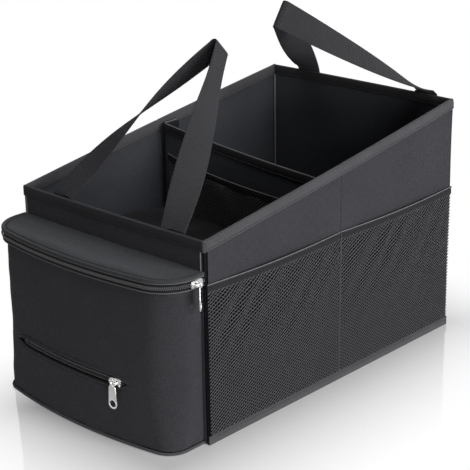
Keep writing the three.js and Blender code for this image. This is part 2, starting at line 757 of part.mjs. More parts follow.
function buildHandles() {
  add('front_handle', handle({
    wallY: -innerY, lean: 1, leanAngle: frontHandleLean, reach: frontHandleReach,
    spread: frontHandleSpread, rim: frontHeight, bow: frontHandleBow,
  }), material.webbing);
  add('rear_handle', handle({
    wallY: halfLength, lean: -1, leanAngle: rearHandleLean, reach: rearHandleReach,
    spread: rearHandleSpread, rim: rearHeight, bow: rearHandleBow,
  }), material.webbing);
}

buildBox();
buildNetPockets();
buildDivider();
buildPocket();
buildSliders();
buildHandles();

export default part;
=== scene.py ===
from math import asin, atan2, ceil, cos, pi, radians, sin, sqrt

import bpy
import numpy as np
from mathutils import Matrix, Vector, noise


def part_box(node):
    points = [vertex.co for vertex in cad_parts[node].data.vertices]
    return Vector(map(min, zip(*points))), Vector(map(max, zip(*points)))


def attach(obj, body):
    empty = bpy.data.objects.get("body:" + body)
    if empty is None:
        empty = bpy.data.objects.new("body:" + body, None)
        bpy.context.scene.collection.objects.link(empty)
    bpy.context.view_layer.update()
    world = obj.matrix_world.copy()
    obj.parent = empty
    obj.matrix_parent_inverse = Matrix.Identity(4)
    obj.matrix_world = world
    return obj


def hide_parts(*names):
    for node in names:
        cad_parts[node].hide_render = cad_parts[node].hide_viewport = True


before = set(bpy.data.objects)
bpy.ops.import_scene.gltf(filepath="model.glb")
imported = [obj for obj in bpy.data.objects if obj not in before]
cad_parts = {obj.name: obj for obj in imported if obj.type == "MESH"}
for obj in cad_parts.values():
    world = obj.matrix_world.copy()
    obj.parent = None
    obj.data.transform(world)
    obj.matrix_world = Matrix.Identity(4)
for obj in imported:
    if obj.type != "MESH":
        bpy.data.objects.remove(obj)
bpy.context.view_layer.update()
mm = 0.001  # shapes are worked out in millimetres, and addPiece turns them into metres
print("frame loaded:", len(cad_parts), "nodes")


def nodeBox(node):
    low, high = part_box(node)
    return np.array(low) / mm, np.array(high) / mm


def linked(name, data):
    thing = bpy.data.objects.new(name, data)
    bpy.context.scene.collection.objects.link(thing)
    return thing


# The box's main sizes, from the frame
halfWidth = nodeBox("right_panel")[1][0]
innerX = nodeBox("right_panel")[0][0]
halfLength = nodeBox("back_panel")[1][1]
innerY = nodeBox("back_panel")[0][1]
gap = 0.3
tape = 1.2
rimDrop = 10  # depth of the tape folded over every top edge
seamUp = 1.9  # height of its stitches above its lower edge
rimLow, rimHigh = nodeBox("rim_binding_right")
rimSlope = (rimHigh[2] - rimLow[2] - rimDrop) / (rimHigh[1] - rimLow[1])
bothSides = (("left", -1), ("right", 1))
bothEnds = (("front", -1), ("rear", 1))
xAxis, yAxis, zAxis = np.eye(3)


def rimAt(y):
    return rimHigh[2] + rimSlope * (y - rimHigh[1])


# Camera: the eye stands in front of the right-hand front corner, a little above the rim
camera = {
    "turn": 43.5089, "climb": 19.9711, "roll": -0.953,
    "focal": 1432.05, "picture": 470,  # pixels
    "aim": (0, 0, 130), "aside": -10.6951, "above": -2.2067, "distance": 1512.667,
    "sensor": 36,
}


def makeCamera(c):
    turn, climb, roll = (radians(c[k]) for k in ("turn", "climb", "roll"))
    back = Vector((sin(turn) * cos(climb), -cos(turn) * cos(climb), sin(climb)))
    right = Vector((cos(turn), sin(turn), 0))
    up = back.cross(right)
    rightRolled = right * cos(roll) + up * sin(roll)
    upRolled = up * cos(roll) - right * sin(roll)
    place = Vector(c["aim"]) + back * c["distance"]
    place += rightRolled * c["aside"] + upRolled * c["above"]
    data = bpy.data.cameras.new("camera")
    data.sensor_width = c["sensor"]
    data.lens = c["sensor"] * c["focal"] / c["picture"]
    eye = linked("camera", data)
    turned = Matrix((rightRolled, upRolled, back)).transposed().to_4x4()
    eye.matrix_world = Matrix.Translation(place * mm) @ turned
    bpy.context.scene.camera = eye


makeCamera(camera)


# Mesh helpers. A form is (points, faces, uvs), with uvs in metres for each face's corners
def spread(low, high, step, *fine):
    values = list(np.linspace(low, high, max(2, ceil((high - low) / step)) + 1))
    for middle, width in fine:
        values += [middle + width * k for k in (-3, -2, -1, -0.5, 0, 0.5, 1, 2, 3)]
    return np.unique(np.clip(values, low, high).round(3))


def smooth(t):
    t = np.clip(t, 0, 1)
    return t * t * (3 - 2 * t)


def waves(points, size, seed=0.0):
    flat = np.asarray(points, float).reshape(-1, 3) / size
    values = [noise.noise((x + seed, y - seed, z + 0.37 * seed)) for x, y, z in flat]
    return np.array(values).reshape(np.asarray(points).shape[:-1])


def gridNormals(grid):
    normals = np.cross(np.gradient(grid, axis=0), np.gradient(grid, axis=1))
    return normals / np.maximum(np.linalg.norm(normals, axis=2, keepdims=True), 1e-9)


def arcLengths(grid, axis):
    steps = np.linalg.norm(np.diff(grid, axis=axis), axis=2)
    start = np.zeros_like(np.take(steps, [0], axis=axis))
    return np.concatenate([start, np.cumsum(steps, axis=axis)], axis=axis) * mm


def gridForm(grid, keep=None):
    nu, nv = grid.shape[:2]
    u, v = arcLengths(grid, 0), arcLengths(grid, 1)
    faces, uvs = [], []
    for i in range(nu - 1):
        for j in range(nv - 1):
            if keep is None or keep(i, j):
                corners = [(i, j), (i + 1, j), (i + 1, j + 1), (i, j + 1)]
                faces.append(tuple(a * nv + b for a, b in corners))
                uvs.append([(u[c], v[c]) for c in corners])
    return grid.reshape(-1, 3), faces, uvs


def thickened(form, offset):
    # Closes a sheet: offset leads from each point to the other side
    points, faces, uvs = form
    count = len(points)
    offset = np.broadcast_to(np.asarray(offset, float), points.shape)
    away = float(np.linalg.norm(offset, axis=1).mean()) * mm
    loose = {}  # edges that only one face has
    for face, uv in zip(faces, uvs):
        for k in range(len(face)):
            a, b = face[k], face[(k + 1) % len(face)]
            if (b, a) in loose:
                del loose[(b, a)]
            else:
                loose[(a, b)] = (uv[k], uv[(k + 1) % len(uv)])
    allFaces = list(faces) + [tuple(i + count for i in reversed(f)) for f in faces]
    allUvs = list(uvs) + [list(reversed(uv)) for uv in uvs]
    for (a, b), (ua, ub) in loose.items():
        allFaces.append((b, a, a + count, b + count))
        allUvs.append([ub, ua, (ua[0] + away, ua[1] + away), (ub[0] + away, ub[1] + away)])
    return np.concatenate([points, points + offset]), allFaces, allUvs


def clothSheet(grid, thick, outward, keep=None):
    # A sheet whose grid is its outer side; outward tells which side that is
    normals = gridNormals(grid)
    middle = normals.reshape(-1, 3).mean(0)
    if np.dot(middle, outward) < 0:
        normals = -normals
        grid, normals = grid[::-1], normals[::-1]
        if keep is not None:
            last, asked = grid.shape[0] - 2, keep
            keep = lambda i, j: asked(last - i, j)
    return thickened(gridForm(grid, keep), (-normals * thick).reshape(-1, 3))


def sweepForm(profile, frames, closed=False):
    # Carries a closed outline along frames of (place, first axis, second axis)
    profile = np.asarray(profile, float)
    n = len(profile)
    rings = [o + profile[:, :1] * a + profile[:, 1:] * b for o, a, b in frames]
    points = np.concatenate(rings)
    around = np.linalg.norm(np.roll(profile, -1, axis=0) - profile, axis=1)
    us = np.concatenate([[0], np.cumsum(around)]) * mm
    middles = np.array([f[0] for f in frames])
    vs = np.concatenate([[0], np.cumsum(np.linalg.norm(np.diff(middles, axis=0), axis=1))]) * mm
    faces, uvs = [], []
    last = len(frames) if closed else len(frames) - 1
    for i in range(last):
        j = (i + 1) % len(frames)
        top = vs[j] if j else vs[-1] + (vs[1] - vs[0])
        for k in range(n):
            m = (k + 1) % n
            faces.append((i * n + k, i * n + m, j * n + m, j * n + k))
            uvs.append([(us[k], vs[i]), (us[k + 1], vs[i]), (us[k + 1], top), (us[k], top)])
    if not closed:
        flat = [(p[0] * mm, p[1] * mm) for p in profile]
        end = (len(frames) - 1) * n
        faces += [tuple(range(n - 1, -1, -1)), tuple(range(end, end + n))]
        uvs += [flat[::-1], flat]
    return points, faces, uvs


def joined(*forms):
    points, faces, uvs = [], [], []
    for form in forms:
        form = outwards(form)
        start = sum(len(p) for p in points)
        points.append(form[0])
        faces += [tuple(i + start for i in f) for f in form[1]]
        uvs += form[2]
    return np.concatenate(points), faces, uvs


def outwards(form):
    points, faces, uvs = form
    volume = 0.0
    for f in faces:
        a = points[f[0]]
        for k in range(1, len(f) - 1):
            volume += np.dot(a, np.cross(points[f[k]], points[f[k + 1]]))
    if volume >= 0:
        return form
    return points, [tuple(reversed(f)) for f in faces], [list(reversed(uv)) for uv in uvs]


def welded(form, near=0.01):
    points, faces, uvs = form
    keys, index, kept = {}, [], []
    for p in points:
        key = tuple(np.round(p / near).astype(int))
        if key not in keys:
            keys[key] = len(kept)
            kept.append(p)
        index.append(keys[key])
    newFaces, newUvs = [], []
    for f, uv in zip(faces, uvs):
        corners = [(index[i], c) for i, c in zip(f, uv)]
        corners = [c for k, c in enumerate(corners) if c[0] != corners[k - 1][0]]
        if len({c[0] for c in corners}) > 2:
            newFaces.append(tuple(c[0] for c in corners))
            newUvs.append([c[1] for c in corners])
    return np.array(kept), newFaces, newUvs


def addPiece(name, form, material, stands=(), body="box", sharp=42,
             patches=None):
    # patches is (other materials, how to choose one from a face's middle)
    points, faces, uvs = outwards(form)
    mesh = bpy.data.meshes.new(name)
    mesh.from_pydata((points * mm).tolist(), [], faces)
    layer = mesh.uv_layers.new(name="cloth")
    layer.data.foreach_set("uv", np.array([c for uv in uvs for c in uv], float).ravel())
    mesh.materials.append(material)
    if patches:
        others, choose = patches
        for other in others:
            mesh.materials.append(other)
        for face, polygon in zip(faces, mesh.polygons):
            polygon.material_index = choose(np.mean([points[i] for i in face], axis=0))
    mesh.polygons.foreach_set("use_smooth", [True] * len(mesh.polygons))
    mesh.set_sharp_from_angle(angle=radians(sharp))
    mesh.validate()
    return dressed(linked(name, mesh), body, stands)


def dressed(piece, body, stands):
    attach(piece, body)
    if stands:
        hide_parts(*stands)
    return piece


def turnsOf(count):
    return [2 * pi * k / count for k in range(count)]


def around(radius, sides, middle=(0, 0), tall=None):
    tall = tall or radius
    return [(middle[0] + radius * cos(a), middle[1] + tall * sin(a)) for a in turnsOf(sides)]


def headings(path):
    # Unit directions along a path
    along = np.gradient(np.asarray(path, float), axis=0)
    return along / np.linalg.norm(along, axis=1, keepdims=True)


def pathFrames(path):
    # Frames along a path whose first axis points to its right, seen along it
    path = np.asarray(path, float)
    along = headings(path)
    across = np.cross(along, zAxis)
    across /= np.linalg.norm(across, axis=1, keepdims=True)
    return [(p, a, np.cross(a, t)) for p, a, t in zip(path, across, along)]


def addCord(name, path, radius, sides, material, body="box"):
    cord = sweepForm(around(radius, sides), pathFrames(path))
    return addPiece(name, cord, material, body=body)


def addTape(name, places, outline, first, second, material, stands=()):
    # Carries an outline along these places, with the same two axes at each
    frames = [(np.array(p), first, second) for p in places]
    return addPiece(name, sweepForm(outline, frames), material, stands)


def level(plan, z=0.0):
    # A plan's points at this height
    return np.column_stack([plan, z + 0 * plan[:, 0]])


# Shader maths
class Wire:
    def __init__(self, board, socket):
        self.board, self.socket = board, socket

    def maths(self, operation, *others):
        return self.board.node("ShaderNodeMath", {"operation": operation}, [self, *others])[0]

    def __add__(self, other): return self.maths("ADD", other)
    def __radd__(self, other): return self.maths("ADD", other)
    def __sub__(self, other): return self.maths("SUBTRACT", other)
    def __rsub__(self, other): return self.board.number("SUBTRACT", other, self)
    def __mul__(self, other): return self.maths("MULTIPLY", other)
    def __truediv__(self, other): return self.maths("DIVIDE", other)
    def __pow__(self, other): return self.maths("POWER", other)

    def sine(self): return self.maths("SINE")
    def absolute(self): return self.maths("ABSOLUTE")
    def larger(self, other): return self.maths("MAXIMUM", other)
    def smaller(self, other): return self.maths("MINIMUM", other)


class Board:
    # The node tree of one material, or of the world
    def __init__(self, owner):
        self.owner = owner
        owner.use_nodes = True
        self.tree = owner.node_tree
        self.tree.nodes.clear()

    def node(self, kind, settings=None, inputs=()):
        made = self.tree.nodes.new(kind)
        for key, value in (settings or {}).items():
            setattr(made, key, value)
        pairs = inputs.items() if isinstance(inputs, dict) else enumerate(inputs)
        for key, value in pairs:
            if isinstance(value, Wire):
                self.tree.links.new(value.socket, made.inputs[key])
            else:
                made.inputs[key].default_value = value
        return [Wire(self, s) for s in made.outputs]

    def number(self, operation, first, second):
        return self.node("ShaderNodeMath", {"operation": operation}, [first, second])[0]

    def places(self, source="uv"):
        if source == "uv":
            return self.node("ShaderNodeUVMap", {"uv_map": "cloth"})[0]
        return self.node("ShaderNodeTexCoord")[3]

    def split(self, vector):
        return self.node("ShaderNodeSeparateXYZ", {}, [vector])

    def blotch(self, vector, scale, detail=2.0, stretch=(1, 1, 1)):
        spun = self.node("ShaderNodeMapping", {}, {"Vector": vector, "Scale": stretch})[0]
        settings = {"Vector": spun, "Scale": scale, "Detail": detail, "Roughness": 0.55}
        return self.node("ShaderNodeTexNoise", {}, settings)[0]

    def tint(self, colour, factor):
        # The colour made lighter or darker by a factor around 1
        grey = self.node("ShaderNodeCombineXYZ", {}, [factor, factor, factor])[0]
        return self.node("ShaderNodeVectorMath", {"operation": "MULTIPLY"}, [grey, colour])[0]

    def close(self, surface, kind="ShaderNodeOutputMaterial"):
        self.node(kind, {}, [surface])
        return self.owner

    def finish(self, colour, roughness, height, depth, **plain):
        bump = {"Height": height, "Distance": depth, "Strength": 1.0}
        normal = self.node("ShaderNodeBump", {}, bump)[0]
        inputs = {"Base Color": colour, "Roughness": roughness, "Normal": normal, **plain}
        return self.close(self.node("ShaderNodeBsdfPrincipled", {}, inputs)[0])


def newBoard(name):
    return Board(bpy.data.materials.new(name))


def wovenCloth(name, shade, thread, depth, slub=1.0, sheen=0.04, rough=0.88):
    # Plain weave with uneven threads; thread is their spacing in metres
    board = newBoard(name)
    uv = board.places()
    u, v, _ = board.split(uv)
    weave = (u * (pi / thread)).sine() * (v * (pi / thread)).sine() * 0.5 + 0.5
    warp = board.blotch(uv, 1 / thread, 1, (1, 0.16, 1))
    weft = board.blotch(uv, 1 / thread, 1, (0.16, 1, 1))
    speck = board.blotch(uv, 1.3 / thread, 1)
    cloud = board.blotch(board.places("object"), 16, 2)
    fibre = warp * 0.5 + weft * 0.5
    tone = ((weave - 0.5) * 0.5 + (fibre - 0.5) * (1.1 * slub) + (speck - 0.5) * (0.8 * slub)
            + (cloud - 0.5) * 0.25 + 1)
    height = weave * 0.8 + fibre * 0.7 + speck * 0.3
    return board.finish(board.tint(shade, tone), rough + (cloud - 0.5) * 0.12, height, depth,
                        **{"Sheen Weight": sheen, "Sheen Roughness": 0.45,
                           "Specular IOR Level": 0.08, "Diffuse Roughness": 0.8})


def ribbedTape(name, shade, rib, depth, line=0.8, gloss=0.12, rough=0.75, sheen=0.03):
    # Ribs across the length, and finer lines along it
    board = newBoard(name)
    uv = board.places()
    u, v, _ = board.split(uv)
    ribs = (v * (2 * pi / rib)).sine() * 0.5 + 0.5
    lines = (u * (2 * pi / (rib * line))).sine() * 0.5 + 0.5
    fibre = board.blotch(uv, 900, 2, (1, 0.3, 1))
    cloud = board.blotch(board.places("object"), 40, 2)
    tone = ((ribs - 0.5) * 0.4 + (lines - 0.5) * 0.12 + (fibre - 0.5) * 0.5
            + (cloud - 0.5) * 0.25 + 1)
    height = ribs * 0.8 + lines * 0.25 + fibre * 0.5
    return board.finish(board.tint(shade, tone), rough + (cloud - 0.5) * 0.1, height, depth,
                        **{"Sheen Weight": sheen, "Sheen Roughness": 0.5,
                           "Specular IOR Level": gloss, "Diffuse Roughness": 1.0})


def nylon(name, shade, rough, grain=1400, gloss=0.2):
    board = newBoard(name)
    fibre = board.blotch(board.places("object"), grain, 2)
    cloud = board.blotch(board.places("object"), 60, 2)
    tone = (fibre - 0.5) * 0.5 + (cloud - 0.5) * 0.3 + 1
    return board.finish(board.tint(shade, tone), rough + (cloud - 0.5) * 0.15, fibre, 0.0001,
                        **{"Specular IOR Level": gloss})


def brightNickel(name, shade):
    board = newBoard(name)
    place = board.places("object")
    haze = board.blotch(place, 160, 3)
    scuff = board.blotch(place, 700, 2, (1, 1, 0.15))
    tone = (haze - 0.5) * 0.16 + 1
    return board.finish(board.tint(shade, tone), 0.2 + (scuff - 0.5) * 0.12, scuff, 0.00004,
                        Metallic=1.0)


shellCloth = wovenCloth("shell cloth", (0.0481, 0.0471, 0.0535), 0.0012, 0.00022, 0.8)
# Near-black: painted shade on the wall behind the side nets and in the strip by each front corner
paintedShadeCloth = wovenCloth("painted shade behind the nets", (0.004, 0.004, 0.005), 0.0013, 0.0002)
liningCloth = wovenCloth("lining cloth", (0.0505, 0.053, 0.0612), 0.001, 0.00012, 0.6)
# Much darker than the lining: painted shade on the floors deep in the compartments
paintedShadeFloorCloth = wovenCloth("inner floor cloth with painted shade", (0.017, 0.017, 0.019), 0.001, 0.00012, 0.6)
pocketCloth = wovenCloth("pocket cloth", (0.045, 0.044, 0.050), 0.0014, 0.0003, 0.7)
lidCloth = wovenCloth("lid cloth", (0.0546, 0.0566, 0.0618), 0.0009, 0.0002, 1.2)
bindingTape = ribbedTape("binding tape", (0.0786, 0.0786, 0.0858), 0.0011, 0.00015)
# Dark copy of the binding tape: painted shade on the front and rear rim tapes, and the own dark colour
# of the side net hems
rimShadeAndHemTape = ribbedTape("rim painted shade and hem tape", (0.0226, 0.0226, 0.0252), 0.0011, 0.00015)
darkTape = ribbedTape("dark tape", (0.014, 0.014, 0.016), 0.0012, 0.00015, 0.8, 0.06)
webbingWeave = ribbedTape("webbing", (0.0485, 0.0475, 0.0524), 0.0019, 0.0004, 0.62, 0.06, 0.85, 0)
zipTapeWeave = ribbedTape("zip tape", (0.020, 0.020, 0.022), 0.0009, 0.0001, 0.8, 0.06)
netThread = nylon("net thread", (0.0953, 0.0946, 0.1022), 0.6, 2000, 0.1)
# Lighter than the side nets' thread: painted light, making up for the shade on the divider inside the
# box
paintedLightNetThread = nylon("inner net thread lightened as painted light", (0.16, 0.16, 0.165), 0.6, 2000, 0.1)
stitchThread = nylon("stitch thread", (0.040, 0.040, 0.044), 0.55, 2500)
# Near-black: real dark seams, and also painted shadow under the slot's lips and down the front corners
darkSeamAndShadowThread = nylon("seam thread and painted shadow", (0.006, 0.006, 0.007), 0.7, 2500, 0.05)
# Light cords standing for bright edge lines: painted highlight
paintedHighlightCord = nylon("painted highlight cord", (0.17, 0.17, 0.175), 0.5, 1500)
slotCoil = nylon("slot zip coil", (0.045, 0.045, 0.05), 0.5)
zipCord = nylon("zip cord", (0.10, 0.10, 0.105), 0.5, 1500)
# Much lighter than the zip cord: painted highlight on the slot's upper cord
slotHighlightCord = nylon("slot painted highlight cord", (0.21, 0.21, 0.215), 0.5, 1500)
zipCoil = nylon("zip coil", (0.13, 0.13, 0.135), 0.4)
nickel = brightNickel("bright nickel", (0.80, 0.80, 0.79))
print("materials made")


# Geometry Nodes
class Tree:
    def __init__(self, name, sizes):
        self.group = bpy.data.node_groups.new(name, "GeometryNodeTree")
        sockets = self.group.interface
        sockets.new_socket("Geometry", in_out="OUTPUT", socket_type="NodeSocketGeometry")
        sockets.new_socket("Geometry", in_out="INPUT", socket_type="NodeSocketGeometry")
        kinds = {float: "NodeSocketFloat", int: "NodeSocketInt", "object": "NodeSocketObject",
                 "material": "NodeSocketMaterial"}
        for key, kind in sizes.items():
            sockets.new_socket(key, in_out="INPUT", socket_type=kinds[kind])
        self.given = self.group.nodes.new("NodeGroupInput").outputs

    def node(self, kind, settings=None, inputs=None):
        made = self.group.nodes.new(kind)
        for key, value in (settings or {}).items():
            setattr(made, key, value)
        for key, value in (inputs or {}).items():
            if isinstance(value, bpy.types.NodeSocket):
                self.group.links.new(value, made.inputs[key])
            else:
                made.inputs[key].default_value = value
        return made.outputs

    def guide(self):
        return self.node("GeometryNodeMeshToCurve", {}, {"Mesh": self.given["Geometry"]})[0]

    def laidOut(self, piece, turning, scale):
        # Copies of a piece, one pitch apart along the guide lines and turned with them
        points = self.node("GeometryNodeResampleCurve", {"mode": "LENGTH"},
                           {"Curve": self.guide(), "Length": self.given["Pitch"]})[0]
        tangent = self.node("GeometryNodeInputTangent")[0]
        turn = self.node("FunctionNodeAlignRotationToVector", turning, {"Vector": tangent})[0]
        return self.node("GeometryNodeInstanceOnPoints", {},
                         {"Points": points, "Instance": piece, "Rotation": turn, "Scale": scale})[0]

    def close(self, geometry):
        real = self.node("GeometryNodeRealizeInstances", {}, {"Geometry": geometry})[0]
        worn = self.node("GeometryNodeSetMaterial", {},
                         {"Geometry": real, "Material": self.given["Material"]})[0]
        self.node("NodeGroupOutput", {}, {0: worn})
        return self.group


def threadTree():
    # Every guide line becomes a round thread
    tree = Tree("threads", {"Radius": float, "Sides": int, "Material": "material"})
    ring = tree.node("GeometryNodeCurvePrimitiveCircle", {"mode": "RADIUS"},
                     {"Resolution": tree.given["Sides"], "Radius": tree.given["Radius"]})[0]
    tube = tree.node("GeometryNodeCurveToMesh", {},
                     {"Curve": tree.guide(), "Profile Curve": ring, "Fill Caps": True})[0]
    return tree.close(tube)


def stitchTree():
    # Short threads laid end to end along the guide lines
    tree = Tree("stitches", {"Pitch": float, "Length": float, "Radius": float,
                             "Material": "material"})
    size = tree.node("ShaderNodeCombineXYZ", {},
                     {0: tree.given["Radius"], 1: tree.given["Radius"], 2: tree.given["Length"]})[0]
    bead = tree.node("GeometryNodeMeshUVSphere", {}, {"Segments": 6, "Rings": 4, "Radius": 1.0})[0]
    return tree.close(tree.laidOut(bead, {"axis": "Z"}, size))


def teethTree():
    # One tooth after another along the guide line, upright
    tree = Tree("teeth", {"Pitch": float, "Tooth": "object", "Material": "material"})
    tooth = tree.node("GeometryNodeObjectInfo", {}, {"Object": tree.given["Tooth"]})["Geometry"]
    return tree.close(tree.laidOut(tooth, {"axis": "X", "pivot_axis": "Z"}, (1, 1, 1)))


threads, stitches, teeth = threadTree(), stitchTree(), teethTree()


def grown(name, lines, tree, values, body, stands=()):
    # Runs a tree on guide lines in millimetres, and keeps the result as a plain mesh
    points = np.concatenate(lines) * mm
    edges, start = [], 0
    for line in lines:
        edges += [(start + k, start + k + 1) for k in range(len(line) - 1)]
        start += len(line)
    guide = bpy.data.meshes.new(name + "_guide")
    guide.from_pydata(points.tolist(), edges, [])
    piece = linked(name, guide)
    modifier = piece.modifiers.new("tree", "NODES")
    modifier.node_group = tree
    for item in tree.interface.items_tree:
        if item.in_out == "INPUT" and item.name in values:
            modifier[item.identifier] = values[item.name]
    bpy.context.view_layer.update()
    seen = piece.evaluated_get(bpy.context.evaluated_depsgraph_get())
    mesh = bpy.data.meshes.new_from_object(seen)
    piece.modifiers.clear()
    piece.data = mesh
    mesh.name = name
    mesh.polygons.foreach_set("use_smooth", [True] * len(mesh.polygons))
    return dressed(piece, body, stands)


def stitchRows(name, lines, pitch=3.4, length=1.25, radius=0.3):
    values = {"Pitch": pitch * mm, "Length": length * mm, "Radius": radius * mm,
              "Material": stitchThread}
    grown(name, lines, stitches, values, "box")


# How the soft walls depart from flat
wallShape = {
    "sideBow": 2.6, "endBow": 1.5, "ripple": 0.55, "rippleSize": 48,
    "crease": 0.75, "creaseWidth": 0.8, "step": 5.5, "thick": 2.9,
    "stripEnd": 1.2, "stripDepth": 1.1,  # narrow recessed strip beside each front corner, darkened with painted shade
}


def sideBow(y, z):
    along = 1 - np.abs(y / halfLength) ** 1.7
    return wallShape["sideBow"] * along * np.clip(z / rimAt(y), 0, 1.2) ** 1.5


def endBow(x, z, height):
    return wallShape["endBow"] * (1 - (x / halfWidth) ** 2) * np.clip(z / height, 0, 1.2) ** 1.5


def sideFace(side, y, z, out=0.0):
    y, z = np.broadcast_arrays(np.asarray(y, float), np.asarray(z, float))
    return np.stack([side * (halfWidth + out + sideBow(y, z)), y, z], axis=-1)


def endFace(end, x, z, out=0.0):
    x, z = np.broadcast_arrays(np.asarray(x, float), np.asarray(z, float))
    y = end * (halfLength + out + endBow(x, z, rimAt(end * halfLength)))
    return np.stack([x, y, z], axis=-1)


def crease(distance):
    return wallShape["crease"] * np.exp(-(distance / wallShape["creaseWidth"]) ** 2)


def sidePanel(word, side):
    w = wallShape
    low, high = nodeBox(f"{word}_panel")
    stripY = low[1] + w["stripEnd"]
    ys = spread(low[1], high[1], w["step"], (0, w["creaseWidth"]), (stripY, 0.25))
    rows = np.linspace(0, 1, 46)
    y = np.repeat(ys[:, None], len(rows), 1)
    z = low[2] + rows[None, :] * (rimAt(y) - tape - gap - low[2])
    grid = sideFace(side, y, z)
    ripple = w["ripple"] * waves(grid, w["rippleSize"], 3 + side)
    ripple = ripple * smooth((halfLength - np.abs(y)) / 25) - crease(y)
    grid[..., 0] += side * (ripple - w["stripDepth"] * (y < stripY - 0.1))
    form = clothSheet(grid, w["thick"], (side, 0, 0))
    hem = nodeBox(f"net_binding_{word}")[0][2]

    # Painted shade: near-black cloth behind the netting and in the strip by the front corner; lining on
    # the inner face
    def clothAt(p):
        if side * p[0] < abs(sideFace(side, p[1], p[2])[0]) - 2:
            return 2
        return 1 if p[2] < hem or p[1] < stripY else 0

    addPiece(f"{word}_wall", form, shellCloth, [f"{word}_panel"],
             patches=([paintedShadeCloth, liningCloth], clothAt))


def endPanel(word, end):
    w = wallShape
    low, high = nodeBox(f"{word}_panel")
    top = rimAt(end * halfLength) - tape - gap
    xs = spread(low[0], high[0], w["step"])
    rows = np.linspace(low[2], top, 44)
    x = np.repeat(xs[:, None], len(rows), 1)
    z = np.repeat(rows[None, :], len(xs), 0)
    grid = endFace(end, x, z)
    ripple = w["ripple"] * waves(grid, w["rippleSize"], 9 + end)
    grid[..., 1] += end * ripple * smooth((halfWidth - np.abs(x)) / 25)
    form = clothSheet(grid, w["thick"], (0, end, 0))
    addPiece(f"{word}_wall", form, shellCloth, [f"{word}_panel"],
             patches=([liningCloth], lambda p: int(abs(p[1]) < halfLength - 1)))


for word, side in bothSides:
    sidePanel(word, side)
endPanel("front", -1)
endPanel("back", 1)
print("walls made")


# Tape folded over the top edges, and round the feet
tapes = {
    "start": 1.5,  # the tapes stop short of the corners
    "foldDip": 0.35, "foldWidth": 1.4,  # in the side tapes, over the fold seam
    "cornerOver": 0.6, "cornerRound": 1.9, "footSeam": 0.55, "footStitches": 2.4,
    "frontBead": 1.4, "rearBead": 1.75, "sway": 0.25, "cord": 0.65, "cordIn": 4.2, "welt": 1.15,
}


def foldedTape(wall, drop, sheet):
    # Outline over a wall of this thickness: first axis outwards from its middle, second axis up
    o = wall / 2 + 0.05
    sheet = sheet * 0.7
    outer = [(o, -drop), (o + sheet * 0.9, -drop - 0.1), (o + sheet + 0.3, -drop + 0.7),
             (o + sheet * 0.75, -drop + 1.9), (o + sheet + 0.15, -drop + 2.9),
             (o + sheet + 0.4, -drop * 0.55), (o + sheet + 0.25, -drop * 0.22),
             (o + sheet * 0.55, -0.35), (o * 0.45, 0.12)]
    inner = [(-a, b) for a, b in reversed(outer)]
    return outer + inner + [(-o, -sheet - 0.6), (-o * 0.5, -sheet), (o * 0.5, -sheet),
                            (o, -sheet - 0.6)]


def rimBindings():
    middle = (halfWidth + innerX) / 2 - halfWidth
    profile = foldedTape(halfWidth - innerX, rimDrop, tape)
    upward = np.array([0, -rimSlope, 1]) / sqrt(1 + rimSlope ** 2)
    rows = []
    for word, side in bothSides:
        low, high = nodeBox(f"rim_binding_{word}")
        ys = spread(tapes["start"] - halfLength, halfLength - tapes["start"], 7, (0, 1.2))
        place = sideFace(side, ys, rimAt(ys), middle)
        place[:, 2] -= tapes["foldDip"] * np.exp(-(ys / tapes["foldWidth"]) ** 2)
        addTape(f"rim_tape_{word}", place, profile, side * xAxis, upward, bindingTape,
                stands=[f"rim_binding_{word}"])
        seam = spread(low[1] + 4, high[1] - 4, 8)
        for out in (0.7 * tape + 0.2, -halfWidth + innerX - 0.7 * tape - 0.2):
            rows.append(sideFace(side, seam, rimAt(seam) - rimDrop + seamUp, out))
    for word, end in bothEnds:
        y = end * (halfLength + innerY) / 2
        xs = spread(tapes["start"] - halfWidth, halfWidth - tapes["start"], 7)
        place = endFace(end, xs, rimAt(y), middle)
        # The front and rear rim tapes take the dark copy: painted shade
        addTape(f"rim_tape_{word}", place, profile, end * yAxis, zAxis, rimShadeAndHemTape,
                stands=[f"rim_binding_{word}"])
        for out in (0.7 * tape + 0.2, -halfLength + innerY - 0.7 * tape - 0.2):
            rows.append(endFace(end, xs[1:-1], rimAt(y) - rimDrop + seamUp, out))
    stitchRows("rim_stitches", rows)
    for place, end in bothEnds:
        for word, side in bothSides:
            rimCorner(f"rim_corner_{place}_{word}", side, end)


def rimCorner(name, side, end):
    # The lapped tape ends, pressed into one soft corner
    half = (halfWidth - innerX) / 2 + tapes["cornerOver"]
    x, y = side * (halfWidth + innerX) / 2, end * (halfLength + innerY) / 2
    corners = [(-half, -half), (half, -half), (half, half), (-half, half)]
    outline = roundedOutline(corners, tapes["cornerRound"])
    heights = np.array([-rimDrop - 0.3, -rimDrop + 0.3, -6, -3, -1.2, -0.3, 0.25])
    sizes = [0.93, 1.0, 1.0, 0.99, 0.96, 0.86, 0.6]
    frames = [(np.array([x, y, rimAt(y) + h]), w * xAxis, w * yAxis)
              for h, w in zip(heights, sizes)]
    addPiece(name, sweepForm(outline, frames), bindingTape)


def roundedOutline(corners, radius, steps=5):
    ring = []
    count = len(corners)
    for k in range(count):
        here = np.array(corners[k], float)
        before = np.array(corners[k - 1], float) - here
        after = np.array(corners[(k + 1) % count], float) - here
        r = min(radius, np.linalg.norm(before) / 2.05, np.linalg.norm(after) / 2.05)
        a = here + before / np.linalg.norm(before) * r
        b = here + after / np.linalg.norm(after) * r
        for t in np.linspace(0, 1, steps):
            ring.append(tuple((1 - t) ** 2 * a + 2 * t * (1 - t) * here + t * t * b))
    return ring


